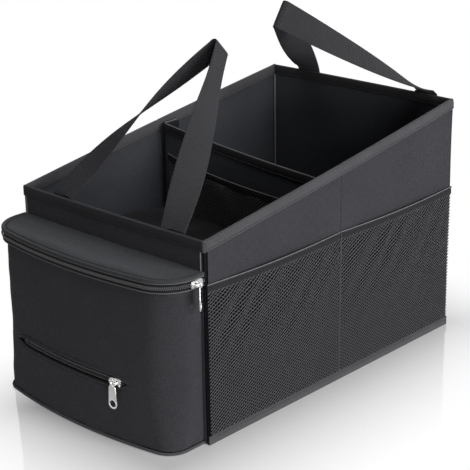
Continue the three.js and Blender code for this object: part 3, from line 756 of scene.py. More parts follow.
def flatTape(height, sheet, lip=0.45):
    # Outline of a tape sewn flat along both edges: outwards, up; the top edge is rolled
    return [(0, 0), (sheet * 0.9, 0), (sheet + 0.1, 0.5), (sheet + 0.1, height * 0.45),
            (sheet, height - 3.1), (sheet * 0.6, height - 2.4), (sheet + 0.15, height - 1.8),
            (sheet + lip, height - 0.8), (sheet * 0.7, height + 0.05), (0, height)]


def footBindings():
    height = nodeBox("foot_binding_right")[1][2]
    stitchZ = height - tapes["footStitches"]
    profile = flatTape(height, tape)
    rows = []
    for word, side in bothSides:
        low, high = nodeBox(f"foot_binding_{word}")
        ys = spread(low[1], high[1], 8)
        place = sideFace(side, ys, 0, gap)
        addTape(f"foot_tape_{word}", place, profile, side * xAxis, zAxis, bindingTape,
                stands=[f"foot_binding_{word}"])
        seam = sideFace(side, ys, height + 0.4, 0.35)
        addCord(f"foot_seam_{word}", seam, tapes["footSeam"], 6, darkSeamAndShadowThread)
        rows.append(sideFace(side, ys[1:-1], stitchZ, gap + tape))
    low, high = nodeBox("foot_binding_rear")
    xs = spread(low[0], high[0], 8)
    place = endFace(1, xs, 0, gap)
    addTape("foot_tape_rear", place, profile, yAxis, zAxis, bindingTape,
            stands=["foot_binding_rear"])
    rows.append(endFace(1, xs[1:-1], stitchZ, gap + tape))
    stitchRows("foot_stitches", rows)


def uprightLine(node):
    # Points up the middle of a node, and their heights
    low, high = nodeBox(node)
    middle = (low + high) / 2
    zs = spread(low[2], high[2], 12)
    return np.array([(middle[0], middle[1], z) for z in zs]), zs


def cornerSeams():
    # A rolled bead down each outside corner, near-black at the front as painted shadow in the seam, and
    # a thin welt down each inside corner
    cordLow = nodeBox("pocket_lid")[1][2] - 2
    cordHigh = rimAt(-halfLength) - rimDrop + 1
    for place, end in bothEnds:
        for word, side in bothSides:
            node = f"corner_seam_{place}_{word}"
            line, zs = uprightLine(node)
            line[:, 0] += tapes["sway"] * np.sin(zs / 21 + side)
            radius = tapes["frontBead"] if end < 0 else tapes["rearBead"]
            # The front beads are near-black, painted shadow in the corner seam; the rear ones are shell
            # cloth
            cloth = darkSeamAndShadowThread if end < 0 else shellCloth
            addTape(f"corner_bead_{place}_{word}", line, around(radius, 12), xAxis, yAxis, cloth,
                    stands=[node])
            if end < 0:
                # A light cord on the front wall beside each front corner: painted highlight
                x = side * (halfWidth - tapes["cordIn"])
                path = [(x, -halfLength - 0.5, z) for z in (cordLow, cordHigh)]
                addTape(f"corner_cord_{word}", path, around(tapes["cord"], 8), xAxis, yAxis,
                        paintedHighlightCord)
            # The inside welts use the light cord material: painted highlight
            node = f"lining_welt_{place}_{word}"
            addTape(f"inside_welt_{place}_{word}", uprightLine(node)[0],
                    around(tapes["welt"], 8), xAxis, yAxis, paintedHighlightCord, stands=[node])


rimBindings()
footBindings()
cornerSeams()
print("tapes made")


# Net pockets on the two sides
sideNet = {"pitchAlong": 5.5, "pitchUp": 3.6, "pair": 0.36, "radius": 0.28, "sides": 5,
           "step": 6, "out": 1.4, "belly": 3.4, "gather": 1.7, "gatherPitch": 34.0,
           "hemSheet": 1.3, "hemLip": 0.7, "hemDroop": 0.5, "hemEdge": 0.5, "hemFoot": 0.42,
           "hemStitches": 6.1, "foldSeam": 0.7, "foldSeamThick": 0.63, "frontEdge": 0.5}


def netLines(y0, y1, z0, top, size):
    # Two families of slanting threads, cut to the field between z0 and top(y); one way is doubled
    lines = []
    a, b = size["pitchAlong"], size["pitchUp"]
    span = (max(top(y0), top(y1)) - z0) / b
    for lean, shifts in ((1, (-size["pair"], size["pair"])), (-1, (0,))):
        first = int((y0 / a) - span - 1) if lean > 0 else int(y0 / a)
        last = int(y1 / a) + 1 if lean > 0 else int(y1 / a + span + 1)
        for k in range(first, last + 1):
            for shift in shifts:
                ts = np.linspace(0, span, 500)
                ys = (k + lean * ts) * a + shift
                inside = (ys >= y0) & (ys <= y1) & (z0 + ts * b <= top(ys))
                if inside.sum() < 8:
                    continue
                low, high = ts[inside][0], ts[inside][-1]
                ts = np.linspace(low, high, max(2, ceil((high - low) * b / size["step"]) + 1))
                line = [(k + lean * ts) * a + shift, z0 + ts * b, 0 * ts + lean]
                lines.append(np.stack(line, axis=1))
    return lines


def netting(name, lines, size, thread, node):
    values = {"Radius": size["radius"] * mm, "Sides": size["sides"], "Material": thread}
    return grown(name, lines, threads, values, "box", [node])


def sideNets():
    size = sideNet
    rows = []
    for word, side in bothSides:
        low, high = nodeBox(f"net_pocket_{word}")
        hemLow, hemHigh = nodeBox(f"net_binding_{word}")
        half = high[1]
        front = -half + wallShape["stripEnd"]

        def belly(y, z):
            up = smooth((z - low[2]) / (hemHigh[2] - low[2]))
            share = np.abs(np.sin(np.pi * y / half))
            slant = y + 0.7 * (hemLow[2] - z)
            fold = np.sin(2 * np.pi * slant / size["gatherPitch"] + 1.1 * np.sin(slant / 17 + 1))
            fold *= 1 - 0.7 * (y % half) / half
            ends = smooth((half - np.abs(y)) / 14) * smooth(np.abs(y) / 9)
            hemFree = np.clip((hemLow[2] + 2 - z) / 10, 0, 1)
            gathered = size["gather"] * (fold + 0.55) * up ** 1.6 * ends * hemFree
            return size["belly"] * share * up + np.maximum(gathered, -0.5 * size["belly"] * up)

        lines = []
        for line in netLines(front, half - 1.3, low[2] - 0.4, lambda y: hemLow[2] + 1, size):
            y, z, lean = line.T
            lines.append(sideFace(side, y, z, size["out"] + 0.3 * lean + belly(y, z)))
        net = netting(f"side_net_{word}", lines, size, netThread, f"net_pocket_{word}")
        profile = flatTape(hemHigh[2] - hemLow[2], size["hemSheet"], size["hemLip"])
        ys = spread(front, hemHigh[1], 7, (0, 1.2))
        place = sideFace(side, ys, hemLow[2], gap + belly(ys, hemHigh[2]))
        place[:, 2] -= size["hemDroop"] * np.abs(np.sin(np.pi * ys / half))
        place[:, 0] -= side * 0.5 * np.exp(-(ys / 1.6) ** 2)
        hem = addTape(f"net_hem_{word}", place, profile, side * xAxis, zAxis, rimShadeAndHemTape,
                      stands=[f"net_binding_{word}"])
        # A light cord along the hem's top: painted highlight
        edge = place + np.array([side * 1.5, 0, hemHigh[2] - hemLow[2] - 0.3])
        addCord(f"net_hem_edge_{word}", edge, size["hemEdge"], 6, paintedHighlightCord)
        foot = place + np.array([side * 0.9, 0, 0.2])
        addCord(f"net_hem_foot_{word}", foot, size["hemFoot"], 6, bindingTape)
        seam = ys[1:-1]
        rows.append(sideFace(side, seam, hemLow[2] + size["hemStitches"],
                             gap + size["hemSheet"] + 0.1 + belly(seam, hemHigh[2])))
        zs = spread(low[2], hemHigh[2], 8)
        place = sideFace(side, 0, zs, size["out"] + 0.45)
        seam = around(size["foldSeam"], 8, tall=size["foldSeamThick"])
        addTape(f"net_fold_seam_{word}", place, seam, side * xAxis, yAxis, bindingTape)
        place = sideFace(side, front, zs, size["out"])
        # A near-black cord at the net's front end: painted shade
        addTape(f"net_front_edge_{word}", place, around(size["frontEdge"], 6), side * xAxis,
                yAxis, paintedShadeCloth)
    stitchRows("net_hem_stitches", rows)


sideNets()
print("side nets made")


# Divider: a stiff wall across the box whose ends turn back along the side walls
dividerLow, dividerHigh = nodeBox("divider_panel")
divider = {
    "y": 1.0, "bend": 4.0, "sheet": 2.9, "sag": 3.0, "lean": 1.6,
    "topLeft": 229.0, "topRight": 209.0, "bindingDrop": 9.5,
    "netDrop": 31.0, "netSag": 5.0, "hem": 8.5, "netHalf": 111.0, "netBelly": 2.4,
    "tip": dividerHigh[1], "flange": dividerHigh[0] - 1.5,
    "hemSheet": 1.1, "hemLip": 0.6, "edge": 0.45, "hemStitches": 6.1,
}
dividerNet = {"pitchAlong": 4.6, "pitchUp": 3.8, "pair": 0.3, "radius": 0.34, "sides": 5,
              "step": 5}


def dividerLine(x):
    share = (x + innerX) / (2 * innerX)
    return divider["topLeft"] + (divider["topRight"] - divider["topLeft"]) * share, share


def dividerTop(x):
    straight, share = dividerLine(x)
    return straight - divider["sag"] * np.sin(np.pi * np.clip(share, 0, 1))


def dividerPlan():
    # Middle line, from the left-hand tip to the right-hand one
    d = divider
    arc = [(-d["flange"] + d["bend"] * (1 - cos(a)), d["y"] + d["bend"] * (1 - sin(a)))
           for a in np.linspace(0, pi / 2, 7)]
    straight = np.linspace(-d["flange"] + d["bend"], 0, 18)[1:]
    tips = np.linspace(d["tip"], d["y"] + d["bend"], 4)[:-1]
    left = [(-d["flange"], t) for t in tips] + arc + [(x, d["y"]) for x in straight]
    return np.array(left + [(-x, y) for x, y in reversed(left[:-1])])


def planNormals(plan):
    along = headings(plan)
    return np.stack([along[:, 1], -along[:, 0]], axis=1)


def buildDivider():
    d = divider
    plan = dividerPlan()
    normals = planNormals(plan)
    foot = dividerLow[2]
    leans = d["lean"] * np.sin(pi * (np.arange(len(plan)) + 0.5) / len(plan))
    columns = []
    for t in np.linspace(0, 1, 34):
        front = plan + normals * d["sheet"] / 2
        front[:, 1] -= leans * smooth(t) * normals[:, 1]
        columns.append(level(front, foot + t * (dividerTop(plan[:, 0]) - tape - gap - foot)))
    grid = np.stack(columns, axis=1)
    grid[..., 1] += 0.5 * waves(grid, 42, 21) * (np.abs(grid[..., 0]) < d["flange"] - 8)
    addPiece("divider_wall", clothSheet(grid, d["sheet"], (0, -1, 0)), liningCloth,
             ["divider_panel"])
    edge = level(plan, dividerTop(plan[:, 0]))
    profile = foldedTape(d["sheet"] + 0.1, d["bindingDrop"], tape)
    frames = [(place + lean * yAxis, out, zAxis)
              for place, out, lean in zip(edge, level(normals), leans)]
    addPiece("divider_tape", sweepForm(profile, frames), darkTape, stands=["divider_binding"])
    # A light cord along the divider tape's top: painted highlight
    ridge = [place + 0.9 * out + 0.15 * zAxis for place, out, _ in frames]
    addCord("divider_tape_edge", ridge, d["edge"], 6, paintedHighlightCord)
    outwardStep = d["sheet"] / 2 + gap + tape + 0.35
    seam = [place + outwardStep * out - (d["bindingDrop"] - seamUp) * zAxis
            for place, out, _ in frames[3:-3]]
    stitchRows("divider_stitches", [np.array(seam)])


def hemTop(x):
    d = divider
    share = np.clip((x + d["netHalf"]) / (2 * d["netHalf"]), 0, 1)
    return dividerLine(x)[0] - d["netDrop"] - d["netSag"] * np.sin(np.pi * share ** 0.75)


def buildDividerNet():
    d = divider
    low, high = nodeBox("divider_net")
    faceY = d["y"] - d["sheet"] / 2 - gap

    def belly(x, z):
        share = np.clip((x + d["netHalf"]) / (2 * d["netHalf"]), 0, 1)
        up = np.clip((z - low[2]) / (hemTop(x) - low[2]), 0, 1)
        fold = np.sin(share * 31 + 1.5 * np.sin(share * 9) + 0.02 * z)
        return (0.8 + d["netBelly"] * np.sin(np.pi * share) * up
                + 1.3 * (fold + 0.4) * up * (1 - share ** 8))

    lines = []
    for line in netLines(low[0], high[0], low[2], lambda x: hemTop(x) - d["hem"] + 1,
                         dividerNet):
        x, z, lean = line.T
        lines.append(np.stack([x, faceY - belly(x, z) - 0.3 * lean, z], axis=1))
    # The divider net's threads are lighter: painted light
    net = netting("divider_netting", lines, dividerNet, paintedLightNetThread, "divider_net")
    xs = spread(low[0], high[0], 6)
    share = np.clip((xs + d["netHalf"]) / (2 * d["netHalf"]), 0, 1)
    out = 0.3 + d["netBelly"] * np.sin(np.pi * share)
    place = np.stack([xs, faceY - out, hemTop(xs) - d["hem"]], axis=1)
    hem = addTape("divider_net_hem", place, flatTape(d["hem"], d["hemSheet"], d["hemLip"]),
                  -yAxis, zAxis, darkTape, stands=["divider_net_binding"])
    # A light cord along the divider net hem's top: painted highlight
    edge = place + np.array([0, -1.3, d["hem"] - 0.3])
    addCord("divider_net_hem_edge", edge, d["edge"], 6, paintedHighlightCord)
    area = (high[0] - low[0]) * (float(np.mean(hemTop(xs))) - low[2]) * mm * mm
    flat = ((high[0] - low[0]) * mm, (float(np.max(hemTop(xs))) - low[2]) * mm)
    seam = place[1:-1] + np.array([0, -d["hemSheet"] - 0.25, d["hemStitches"]])
    stitchRows("divider_net_stitches", [seam])


buildDivider()
buildDividerNet()
print("divider made")


# Floors
floorShape = {"board": 3.0, "lift": 9.0, "wave": 2.8}


def slabForm(xs, ys, top, thick):
    # A board between two curved edges, with its upper side given by top(x, y)
    x, y = np.meshgrid(xs, ys, indexing="ij")
    grid = np.stack([x, y, top(x, y)], axis=-1)
    return thickened(gridForm(grid), (0, 0, -thick))


def buildFloors():
    low, high = nodeBox("floor_panel")
    soft = lambda x, y: high[2] + 0 * x
    form = slabForm(spread(low[0], high[0], 12), spread(low[1], high[1], 12), soft,
                    high[2] - low[2])
    addPiece("floor_cloth", form, shellCloth, ["floor_panel"])
    low, high = nodeBox("base_board")

    def boardTop(x, y):
        edge = np.minimum(high[0] - np.abs(x), high[1] - np.abs(y))
        fold = 0.5 * np.exp(-(y / 0.9) ** 2)
        return high[2] - 0.7 * np.exp(-edge / 1.2) - fold + 0.25 * np.sin(x / 31) * np.sin(y / 37)

    xs = spread(low[0], high[0], 9, (low[0] + 2, 0.7), (high[0] - 2, 0.7))
    ys = spread(low[1], high[1], 9, (0, 0.8), (low[1] + 2, 0.7), (high[1] - 2, 0.7))
    form = slabForm(xs, ys, boardTop, high[2] - low[2] - 0.8)
    # The base board and raised floor take the darker cloth: painted shade
    addPiece("loose_base_board", form, paintedShadeFloorCloth, ["base_board"])
    low, high = nodeBox("shallow_floor")

    def shallowTop(x, y):
        wall = np.exp(-((x - low[0]) / 24) ** 2) * np.exp(-((y + 62) / 42) ** 2)
        point = np.stack([x, y, 0 * x], axis=-1)
        fade = smooth((high[0] - x) / 30) * smooth((y - low[1]) / 20)
        return (high[2] + floorShape["lift"] * wall
                + floorShape["wave"] * waves(point, 34, 5) * fade)

    form = slabForm(spread(low[0], high[0], 4.5), spread(low[1], high[1], 4.5), shallowTop,
                    floorShape["board"])
    addPiece("raised_floor", form, paintedShadeFloorCloth, ["shallow_floor"])


buildFloors()
print("floors made")


# Front pocket: bowed wall, lid and the zip between them
pocket = {
    "depth": 57, "bow": 568, "corner": 38, "wallInset": 2.6, "wallSheet": 2.2, "taper": 2.4,
    "back": -halfLength - gap, "belly": 1.0, "cornerSteps": 14, "bowSteps": 30,
    "tuck": 2.2, "footCorner": 25,  # inwards below the zip, and the corner's radius at the foot
    "slotLeft": -90.0, "slotRight": 70.5, "slotMiddle": 62.5, "slotHalf": 4.3,
    "lidSeam": 4.2, "lidThick": 2.4, "lidSeat": 174.6, "toothPitch": 1.7,
    "cordBelow": (0.9, 162.2, 0.62), "cordAbove": (0.3, 171.3, 0.55),  # inset, height, radius
    "tapeInset": 1.0, "coilInset": 0.5, "coreInset": 1.5, "pouchInset": 6.4,
    "slotSliderX": 58, "frontHalf": 110,
    "lip": [0, 0.7, 1.5, 2.4, 3.2, 3.9, 4.6, 6.2, 9],  # wall rows' distances from the slot
}
bowCentre = -halfLength - pocket["depth"] + pocket["bow"]


def pocketPlan(inset, taper=0.0, corner=None):
    # From the right-hand back end, round the bowed front, to the left-hand back end
    p = pocket
    corner = corner or p["corner"]
    cornerX = halfWidth - taper - corner
    reach = sqrt((p["bow"] - corner) ** 2 - cornerX ** 2)
    cornerY = bowCentre - reach
    turn = atan2(reach, cornerX)
    r = corner - inset
    side = [(cornerX + r, y) for y in np.linspace(p["back"], cornerY, 4)[:-1]]
    arc = [(cornerX + r * cos(a), cornerY - r * sin(a))
           for a in np.linspace(0, turn, p["cornerSteps"] + 1)]
    swing = pi / 2 - turn
    bow = [((p["bow"] - inset) * sin(a), bowCentre - (p["bow"] - inset) * cos(a))
           for a in np.linspace(swing, 0, p["bowSteps"] + 1)[1:]]
    right = side + arc + bow
    return np.array(right + [(-x, y) for x, y in reversed(right[:-1])])


def slotHalfAt(x):
    # Half the height of the zipped slot, which comes to a point at both ends
    p = pocket
    left = np.clip((x - p["slotLeft"]) / 22, 0, 1)
    right = np.clip((p["slotRight"] - x) / 14, 0, 1)
    return p["slotHalf"] * np.sin(left * pi / 2) ** 0.8 * np.sin(right * pi / 2) ** 0.8


def wallRows():
    # Row heights of the pocket wall as (kind, value): fixed heights, or distances from the slot
    top = nodeBox("pocket_wall")[1][2]
    below = [("fixed", z) for z in np.linspace(0, pocket["slotMiddle"] - 17, 12)]
    lower = [("below", d) for d in pocket["lip"][::-1]]
    upper = [("above", d) for d in pocket["lip"]]
    above = [("fixed", z) for z in np.linspace(pocket["slotMiddle"] + 17, top, 20)]
    return below + lower + upper + above


def wallPlan(share, inset=0.0):
    # The pocket wall's outline at this share of its height
    p = pocket
    tuck = p["tuck"] * (0.5 + 0.5 * smooth(share * 1.6)) * smooth((1 - share) * 18 + 0.35)
    corner = p["footCorner"] + (p["corner"] - p["footCorner"]) * smooth(share * 2.2)
    return pocketPlan(p["wallInset"] + tuck + inset, p["taper"] * (1 - share), corner)


def lipRelief(kind, distance, window):
    # The cloth is turned in along the slot, and the upper lip overhangs
    if kind == "above":
        out = [-0.8, 1.3, 1.9, 1.7, 1.2, -0.1, 0.5, 0.3, 0]
    else:
        out = [-1.4, -0.2, 0.5, 0.6, 0.4, -0.3, 0.15, 0, 0]
    return window * np.interp(distance, pocket["lip"], out)


def buildPocketWall():
    p = pocket
    kinds = wallRows()
    top = kinds[-1][1]
    outline = pocketPlan(p["wallInset"])
    grid = np.zeros((len(outline), len(kinds), 3))
    widest = outline[:, 0]
    half = slotHalfAt(widest)
    window = smooth((widest - p["slotLeft"] + 8) / 16) * smooth((p["slotRight"] + 8 - widest) / 16)
    onFront = np.abs(widest) < p["frontHalf"]
    for j, (kind, value) in enumerate(kinds):
        if kind == "fixed":
            z, relief = np.full(len(outline), value), 0
        else:
            away = value + np.where(onFront, np.maximum(half, 0.25), 0.25)
            z = p["slotMiddle"] + (away if kind == "above" else -away)
            relief = lipRelief(kind, value, window)
        share = float(np.clip(z.mean() / top, 0, 1))
        plan = wallPlan(share)
        normals = -planNormals(plan)
        fade = smooth((np.abs(plan[:, 1] - p["back"])) / 20)
        point = level(plan, z)
        soft = 0.8 * waves(point, 38, 40) + 0.35 * waves(point, 14, 60)
        pucker = 0.6 * np.sin(z / 2.1) * np.exp(-((widest - 92) / 14) ** 2
                                                - ((z - p["slotMiddle"]) / 11) ** 2)
        out = (wallOut(z, top) + soft) * fade + relief + pucker
        grid[:, j] = level(plan + normals * out[:, None], z)
    slotRow = [kind for kind, _ in kinds].index("above") - 1
    columnX = (widest[:-1] + widest[1:]) / 2
    slotColumn = (columnX > p["slotLeft"] + 0.5) & (columnX < p["slotRight"] - 0.5)
    onFront = np.abs(columnX) < p["frontHalf"]
    keep = lambda i, j: not (j == slotRow and slotColumn[i] and onFront[i])
    form = clothSheet(grid, p["wallSheet"], (0, -1, 0), keep)
    wall = addPiece("pocket_cloth", form, pocketCloth, ["pocket_wall"])
    top * mm
    seamX = spread(p["slotLeft"] + 2, p["slotRight"] + 4, 5)
    rows = []
    for sign in (1, -1):
        z = p["slotMiddle"] + sign * (slotHalfAt(seamX) + 3.9)
        rows.append(onBow(seamX, z, p["wallInset"] + p["tuck"] - wallOut(z, top) - 0.25))
    stitchRows("slot_stitches", rows, pitch=3, radius=0.28)
    addCord("pocket_foot_piping", level(wallPlan(0, -0.9), 1.7), 1.4, 8, bindingTape)
    addCord("pocket_foot_seam", level(wallPlan(0, 0.1), 3.5), 0.5, 6, darkSeamAndShadowThread)


def wallOut(z, top):
    return pocket["belly"] * np.sin(pi * np.clip(z / top, 0, 1)) ** 0.8


def onBow(x, z, inset):
    # Points on the bowed front at these widths and heights
    radius = pocket["bow"] - inset
    a = np.arcsin(x / radius)
    return np.stack([x, bowCentre - radius * np.cos(a), z + 0 * x], axis=-1)


def addBand(name, path, outline, material, body, stands=()):
    # An outline whose first axis points out of the pocket, carried along its edge
    frames = [(o, -a, b) for o, a, b in pathFrames(path)]
    addPiece(name, sweepForm(outline, frames), material, stands, body)


def bandTape(node, name, body):
    low, high = nodeBox(node)
    half = (high[2] - low[2]) / 2
    outline = [(-1.8, -half), (-0.2, -half), (0, -half * 0.8), (0, half * 0.8), (-0.2, half),
               (-1.8, half)]
    path = level(pocketPlan(pocket["tapeInset"]), (low[2] + high[2]) / 2)
    addBand(name, path, outline, zipTapeWeave, body, [node])


def makeTooth():
    # One turn of the coil: a bent wire whose round side faces out
    path = np.array([[0.35 * sin(a), 0.85 * cos(a) - 0.3, 0.75 * sin(a)]
                     for a in np.linspace(-1.5, 1.5, 6)])
    frames = [(p, xAxis, np.cross(t, xAxis)) for p, t in zip(path, headings(path))]
    points, faces, _ = outwards(sweepForm(around(0.44, 6), frames))
    mesh = bpy.data.meshes.new("tooth")
    mesh.from_pydata((points * mm).tolist(), [], faces)
    return bpy.data.objects.new("tooth", mesh)


def zipRow(name, path, body, node, coil):
    values = {"Pitch": pocket["toothPitch"] * mm, "Tooth": tooth, "Material": coil}
    grown(name, [path], teeth, values, body, [node])


def buildZipBand():
    bandTape("wall_zip_tape", "zip_tape_below", "box")
    bandTape("lid_zip_tape", "zip_tape_above", "lid")
    for name, key, body in (("zip_cord_below", "cordBelow", "box"),
                            ("zip_cord_above", "cordAbove", "lid")):
        inset, z, radius = pocket[key]
        addCord(name, level(pocketPlan(inset), z), radius, 8, zipCord, body)
    core = [(-0.75, -0.62), (0.1, -0.62), (0.1, 0.62), (-0.75, 0.62)]
    for node, name, body in (("wall_zip_coil", "zip_teeth_below", "box"),
                             ("lid_zip_coil", "zip_teeth_above", "lid")):
        low, high = nodeBox(node)
        middle = (low[2] + high[2]) / 2
        path = level(pocketPlan(pocket["coilInset"]), middle)
        if body == "lid":  # its teeth stand between the other row's
            path = path + (path[1] - path[0]) / np.linalg.norm(path[1] - path[0]) * 0.6
        zipRow(name, path, body, node, zipCoil)
        path = level(pocketPlan(pocket["coreInset"]), middle)
        addBand(name + "_core", path, core, zipTapeWeave, body)


def buildSlotZip():
    p = pocket
    low, high = nodeBox("slot_zip_tape")
    xs = spread(low[0], high[0], 7)
    zs = np.linspace(low[2], high[2], 5)
    deep = p["wallInset"] + p["tuck"]
    top = nodeBox("pocket_wall")[1][2]
    grid = np.stack([onBow(xs, z, p["wallInset"] + p["wallSheet"] + gap) for z in zs], axis=1)
    addPiece("slot_tape", clothSheet(grid, 1.0, (0, -1, 0)), zipTapeWeave,
             ["slot_zip_tape"])
    for word, up in (("upper", 1), ("lower", -1)):
        low, high = nodeBox(f"slot_zip_coil_{word}")
        middle = p["slotMiddle"] + up * 0.95
        xs = np.linspace(high[0] + 1, low[0], 60)
        row = onBow(xs, middle, deep - wallOut(middle, top) + 0.5)
        zipRow(f"slot_teeth_{word}", row, "box", f"slot_zip_coil_{word}", slotCoil)
        # The upper cord is much lighter than the lower one: painted highlight
        z = p["slotMiddle"] + up * np.minimum(2.1, slotHalfAt(xs) * 0.5)
        addCord(f"slot_cord_{word}", onBow(xs, z, deep - wallOut(z, top) + 0.3), 0.45, 8,
                slotHighlightCord if up > 0 else zipCord)
        # Near-black cords just inside the slot's lips: painted shadow under the lip edges
        xs = spread(p["slotLeft"] + 1, p["slotRight"] - 1, 4)
        z = p["slotMiddle"] + up * (slotHalfAt(xs) - 0.2)
        addCord(f"slot_edge_{word}", onBow(xs, z, deep - wallOut(z, top) - 0.1), 0.75, 8,
                darkSeamAndShadowThread)
    low, high = nodeBox("slot_zip_pouch")
    xs = spread(low[0], high[0], 8)
    rows = np.linspace(0, 1, 16)
    outer = np.stack([onBow(xs, z, p["pouchInset"]) for z in low[2] + rows * (high[2] - low[2])], axis=1)
    swell = np.sin(np.linspace(0, pi, len(xs)))[:, None] * np.sin(pi * rows ** 0.8)[None, :]
    offset = (1.0 + 2.2 * swell).reshape(-1, 1) * yAxis
    addPiece("slot_pouch", thickened(gridForm(outer), offset), liningCloth,
             ["slot_zip_pouch"])


def lidHeightAt(inset, point):
    high = nodeBox("pocket_lid")[1]
    p = pocket
    roll = 1.3 * np.exp(-np.maximum(inset, 0) / 1.3)
    seam = 1.1 * np.exp(-((inset - p["lidSeam"]) / 0.5) ** 2)
    crown = 0.7 * smooth((inset - p["lidSeam"]) / 7)
    dents = (1.1 * waves(point, 40, 77) + 0.5 * waves(point, 17, 31)) * smooth((inset - 5) / 12)
    outer = smooth((-halfLength - 28 - point[:, 1]) / 20)  # the back half clears the rim when open
    low = 1.25 + 0.3 * waves(point, 40, 77)
    return high[2] - roll - seam + outer * (crown + dents) - (1 - outer) * low


def buildLid():
    p = pocket
    insets = [0.8, 1.2, 1.8, 2.6, 3.4, 3.8, 4.2, 4.6, 5.0, 6, 8, 11, 15, 20, 26, 33]
    rings = []
    for inset in insets:
        plan = pocketPlan(inset)
        rings.append(level(plan, lidHeightAt(inset, level(plan))))
    inner = rings[-1]
    for t in (0.25, 0.5, 0.75, 1.0):
        plan = inner[:, :2].copy()
        plan[:, 1] += (p["back"] - plan[:, 1]) * t
        rings.append(level(plan, lidHeightAt(40, level(plan))))
    for ring in rings:
        nearWall = smooth((p["back"] - ring[:, 1]) / 9)
        ring[:, 2] = p["lidSeat"] + (ring[:, 2] - p["lidSeat"]) * nearWall
    points, faces, _ = gridForm(np.stack(rings, axis=1))
    uvs = [[(points[i][0] * mm, points[i][1] * mm) for i in f] for f in faces]
    form = welded(thickened((points, faces, uvs), (0, 0, -p["lidThick"])))
    addPiece("lid_top", form, lidCloth, ["pocket_lid"], "lid")
    low, high = nodeBox("lid_piping")
    path = level(pocketPlan(0.9), (low[2] + high[2]) / 2)
    addBand("lid_edge_piping", path, around(1.35, 12, tall=1.65), lidCloth, "lid",
            ["lid_piping"])
    seam = pocketPlan(p["lidSeam"])[3:-3]
    row = level(seam, lidHeightAt(p["lidSeam"], level(seam)) + 0.35)
    addCord("lid_seam", row, 0.5, 6, darkSeamAndShadowThread, "lid")


def buildPocketFloor():
    low, high = nodeBox("pocket_floor")
    plan = pocketPlan(pocket["wallInset"] + pocket["wallSheet"] + gap, pocket["taper"])
    rings = []
    for t in (0, 0.3, 0.65, 1):
        ring = level(plan, high[2] - 0.2 * t)
        ring[:, 1] = plan[:, 1] + (pocket["back"] - plan[:, 1]) * t
        rings.append(ring)
    form = gridForm(np.stack(rings, axis=1))
    form = welded(thickened(form, (0, 0, -(high[2] - low[2]) + 0.2)))
    addPiece("pocket_base", form, pocketCloth, ["pocket_floor"])


tooth = makeTooth()
buildPocketWall()
buildZipBand()
buildSlotZip()
buildLid()
buildPocketFloor()
print("front pocket made")


# Sliders and pulls, in their own frame: travel along X, width along Z, face towards -Y
slider = {
    "length": 14.0, "width": 8.2, "narrow": 6.2, "plate": 2.2, "span": 9.0,
    "rise": 3.0, "eyeInner": 1.5, "eyeOuter": 2.7, "eyeWidth": 1.8,
    "pullLength": 26.0, "pullTop": 8.4, "pullFoot": 10.4, "pullSheet": 1.1, "pullHole": 3.5,
}


def flatMetal(outline, thick, bevel, holes=()):
    # A plate with rounded edges, lying in X and Z round y = 0
    curve = bpy.data.curves.new("plate", "CURVE")
    curve.dimensions = "2D"
    curve.fill_mode = "BOTH"
    curve.extrude = thick / 2 - bevel
    curve.bevel_depth = bevel
    curve.bevel_resolution = 2
    curve.offset = -bevel
    for ring in (outline, *holes):
        spline = curve.splines.new("POLY")
        spline.points.add(len(ring) - 1)
        for point, (x, z) in zip(spline.points, ring):
            point.co = (x, z, 0, 1)
        spline.use_cyclic_u = True
    holder = linked("plate", curve)
    mesh = bpy.data.meshes.new_from_object(holder)
    points = np.array([v.co for v in mesh.vertices])[:, [0, 2, 1]]
    faces = [tuple(f.vertices) for f in mesh.polygons]
    bpy.data.objects.remove(holder)
    return welded((points, faces, [[(0.0, 0.0)] * len(f) for f in faces]), 0.002)


def sliderForm(s):
    half, shoulder = s["length"] / 2, s["length"] / 8
    shape = [(-half, -s["narrow"] / 2), (shoulder, -s["width"] / 2), (half, -s["width"] / 2),
             (half, s["width"] / 2), (shoulder, s["width"] / 2), (-half, s["narrow"] / 2)]
    outline = roundedOutline(shape, 2.6)
    forms = []
    for y in (-s["plate"] + 0.45, -0.45):
        points, faces, uvs = flatMetal(outline, 0.9, 0.3)
        points = points + np.array([0, y, 0])
        if y < -1:
            reach = (points[:, 0] / half) ** 2 + (points[:, 2] / s["width"] * 2) ** 2
            points[:, 1] -= 0.7 * np.clip(1 - reach, 0, 1)
        forms.append((points, faces, uvs))
    neck = roundedOutline([(half - 5, -1.6), (half - 1, -2.2), (half - 1, 2.2), (half - 5, 1.6)], 1)
    points, faces, uvs = flatMetal(neck, s["plate"] - 0.6, 0.2)
    forms.append((points + np.array([0, -s["plate"] / 2, 0]), faces, uvs))
    reach, top = s["span"] / 2, -s["plate"] - s["rise"]
    turns = np.linspace(0, pi, 15)
    arch = np.array([[-(reach - 0.6) * np.sign(cos(a)) * abs(cos(a)) ** 0.55,
                      -s["plate"] + 0.3 + (top + s["plate"] - 0.3) * sin(a) ** 0.6, 0]
                     for a in turns])
    forms.append(sweepForm(around(0.62, 10, tall=1.5), pathFrames(arch)))
    return joined(*forms)


def ringFrames(radius, count, first, second, middle=0.0):
    # Frames round a circle that starts at the first axis and turns towards the second
    thick = np.abs(np.cross(first, second))
    spokes = [cos(a) * first + sin(a) * second for a in turnsOf(count)]
    return [(middle + radius * spoke, spoke, thick) for spoke in spokes]


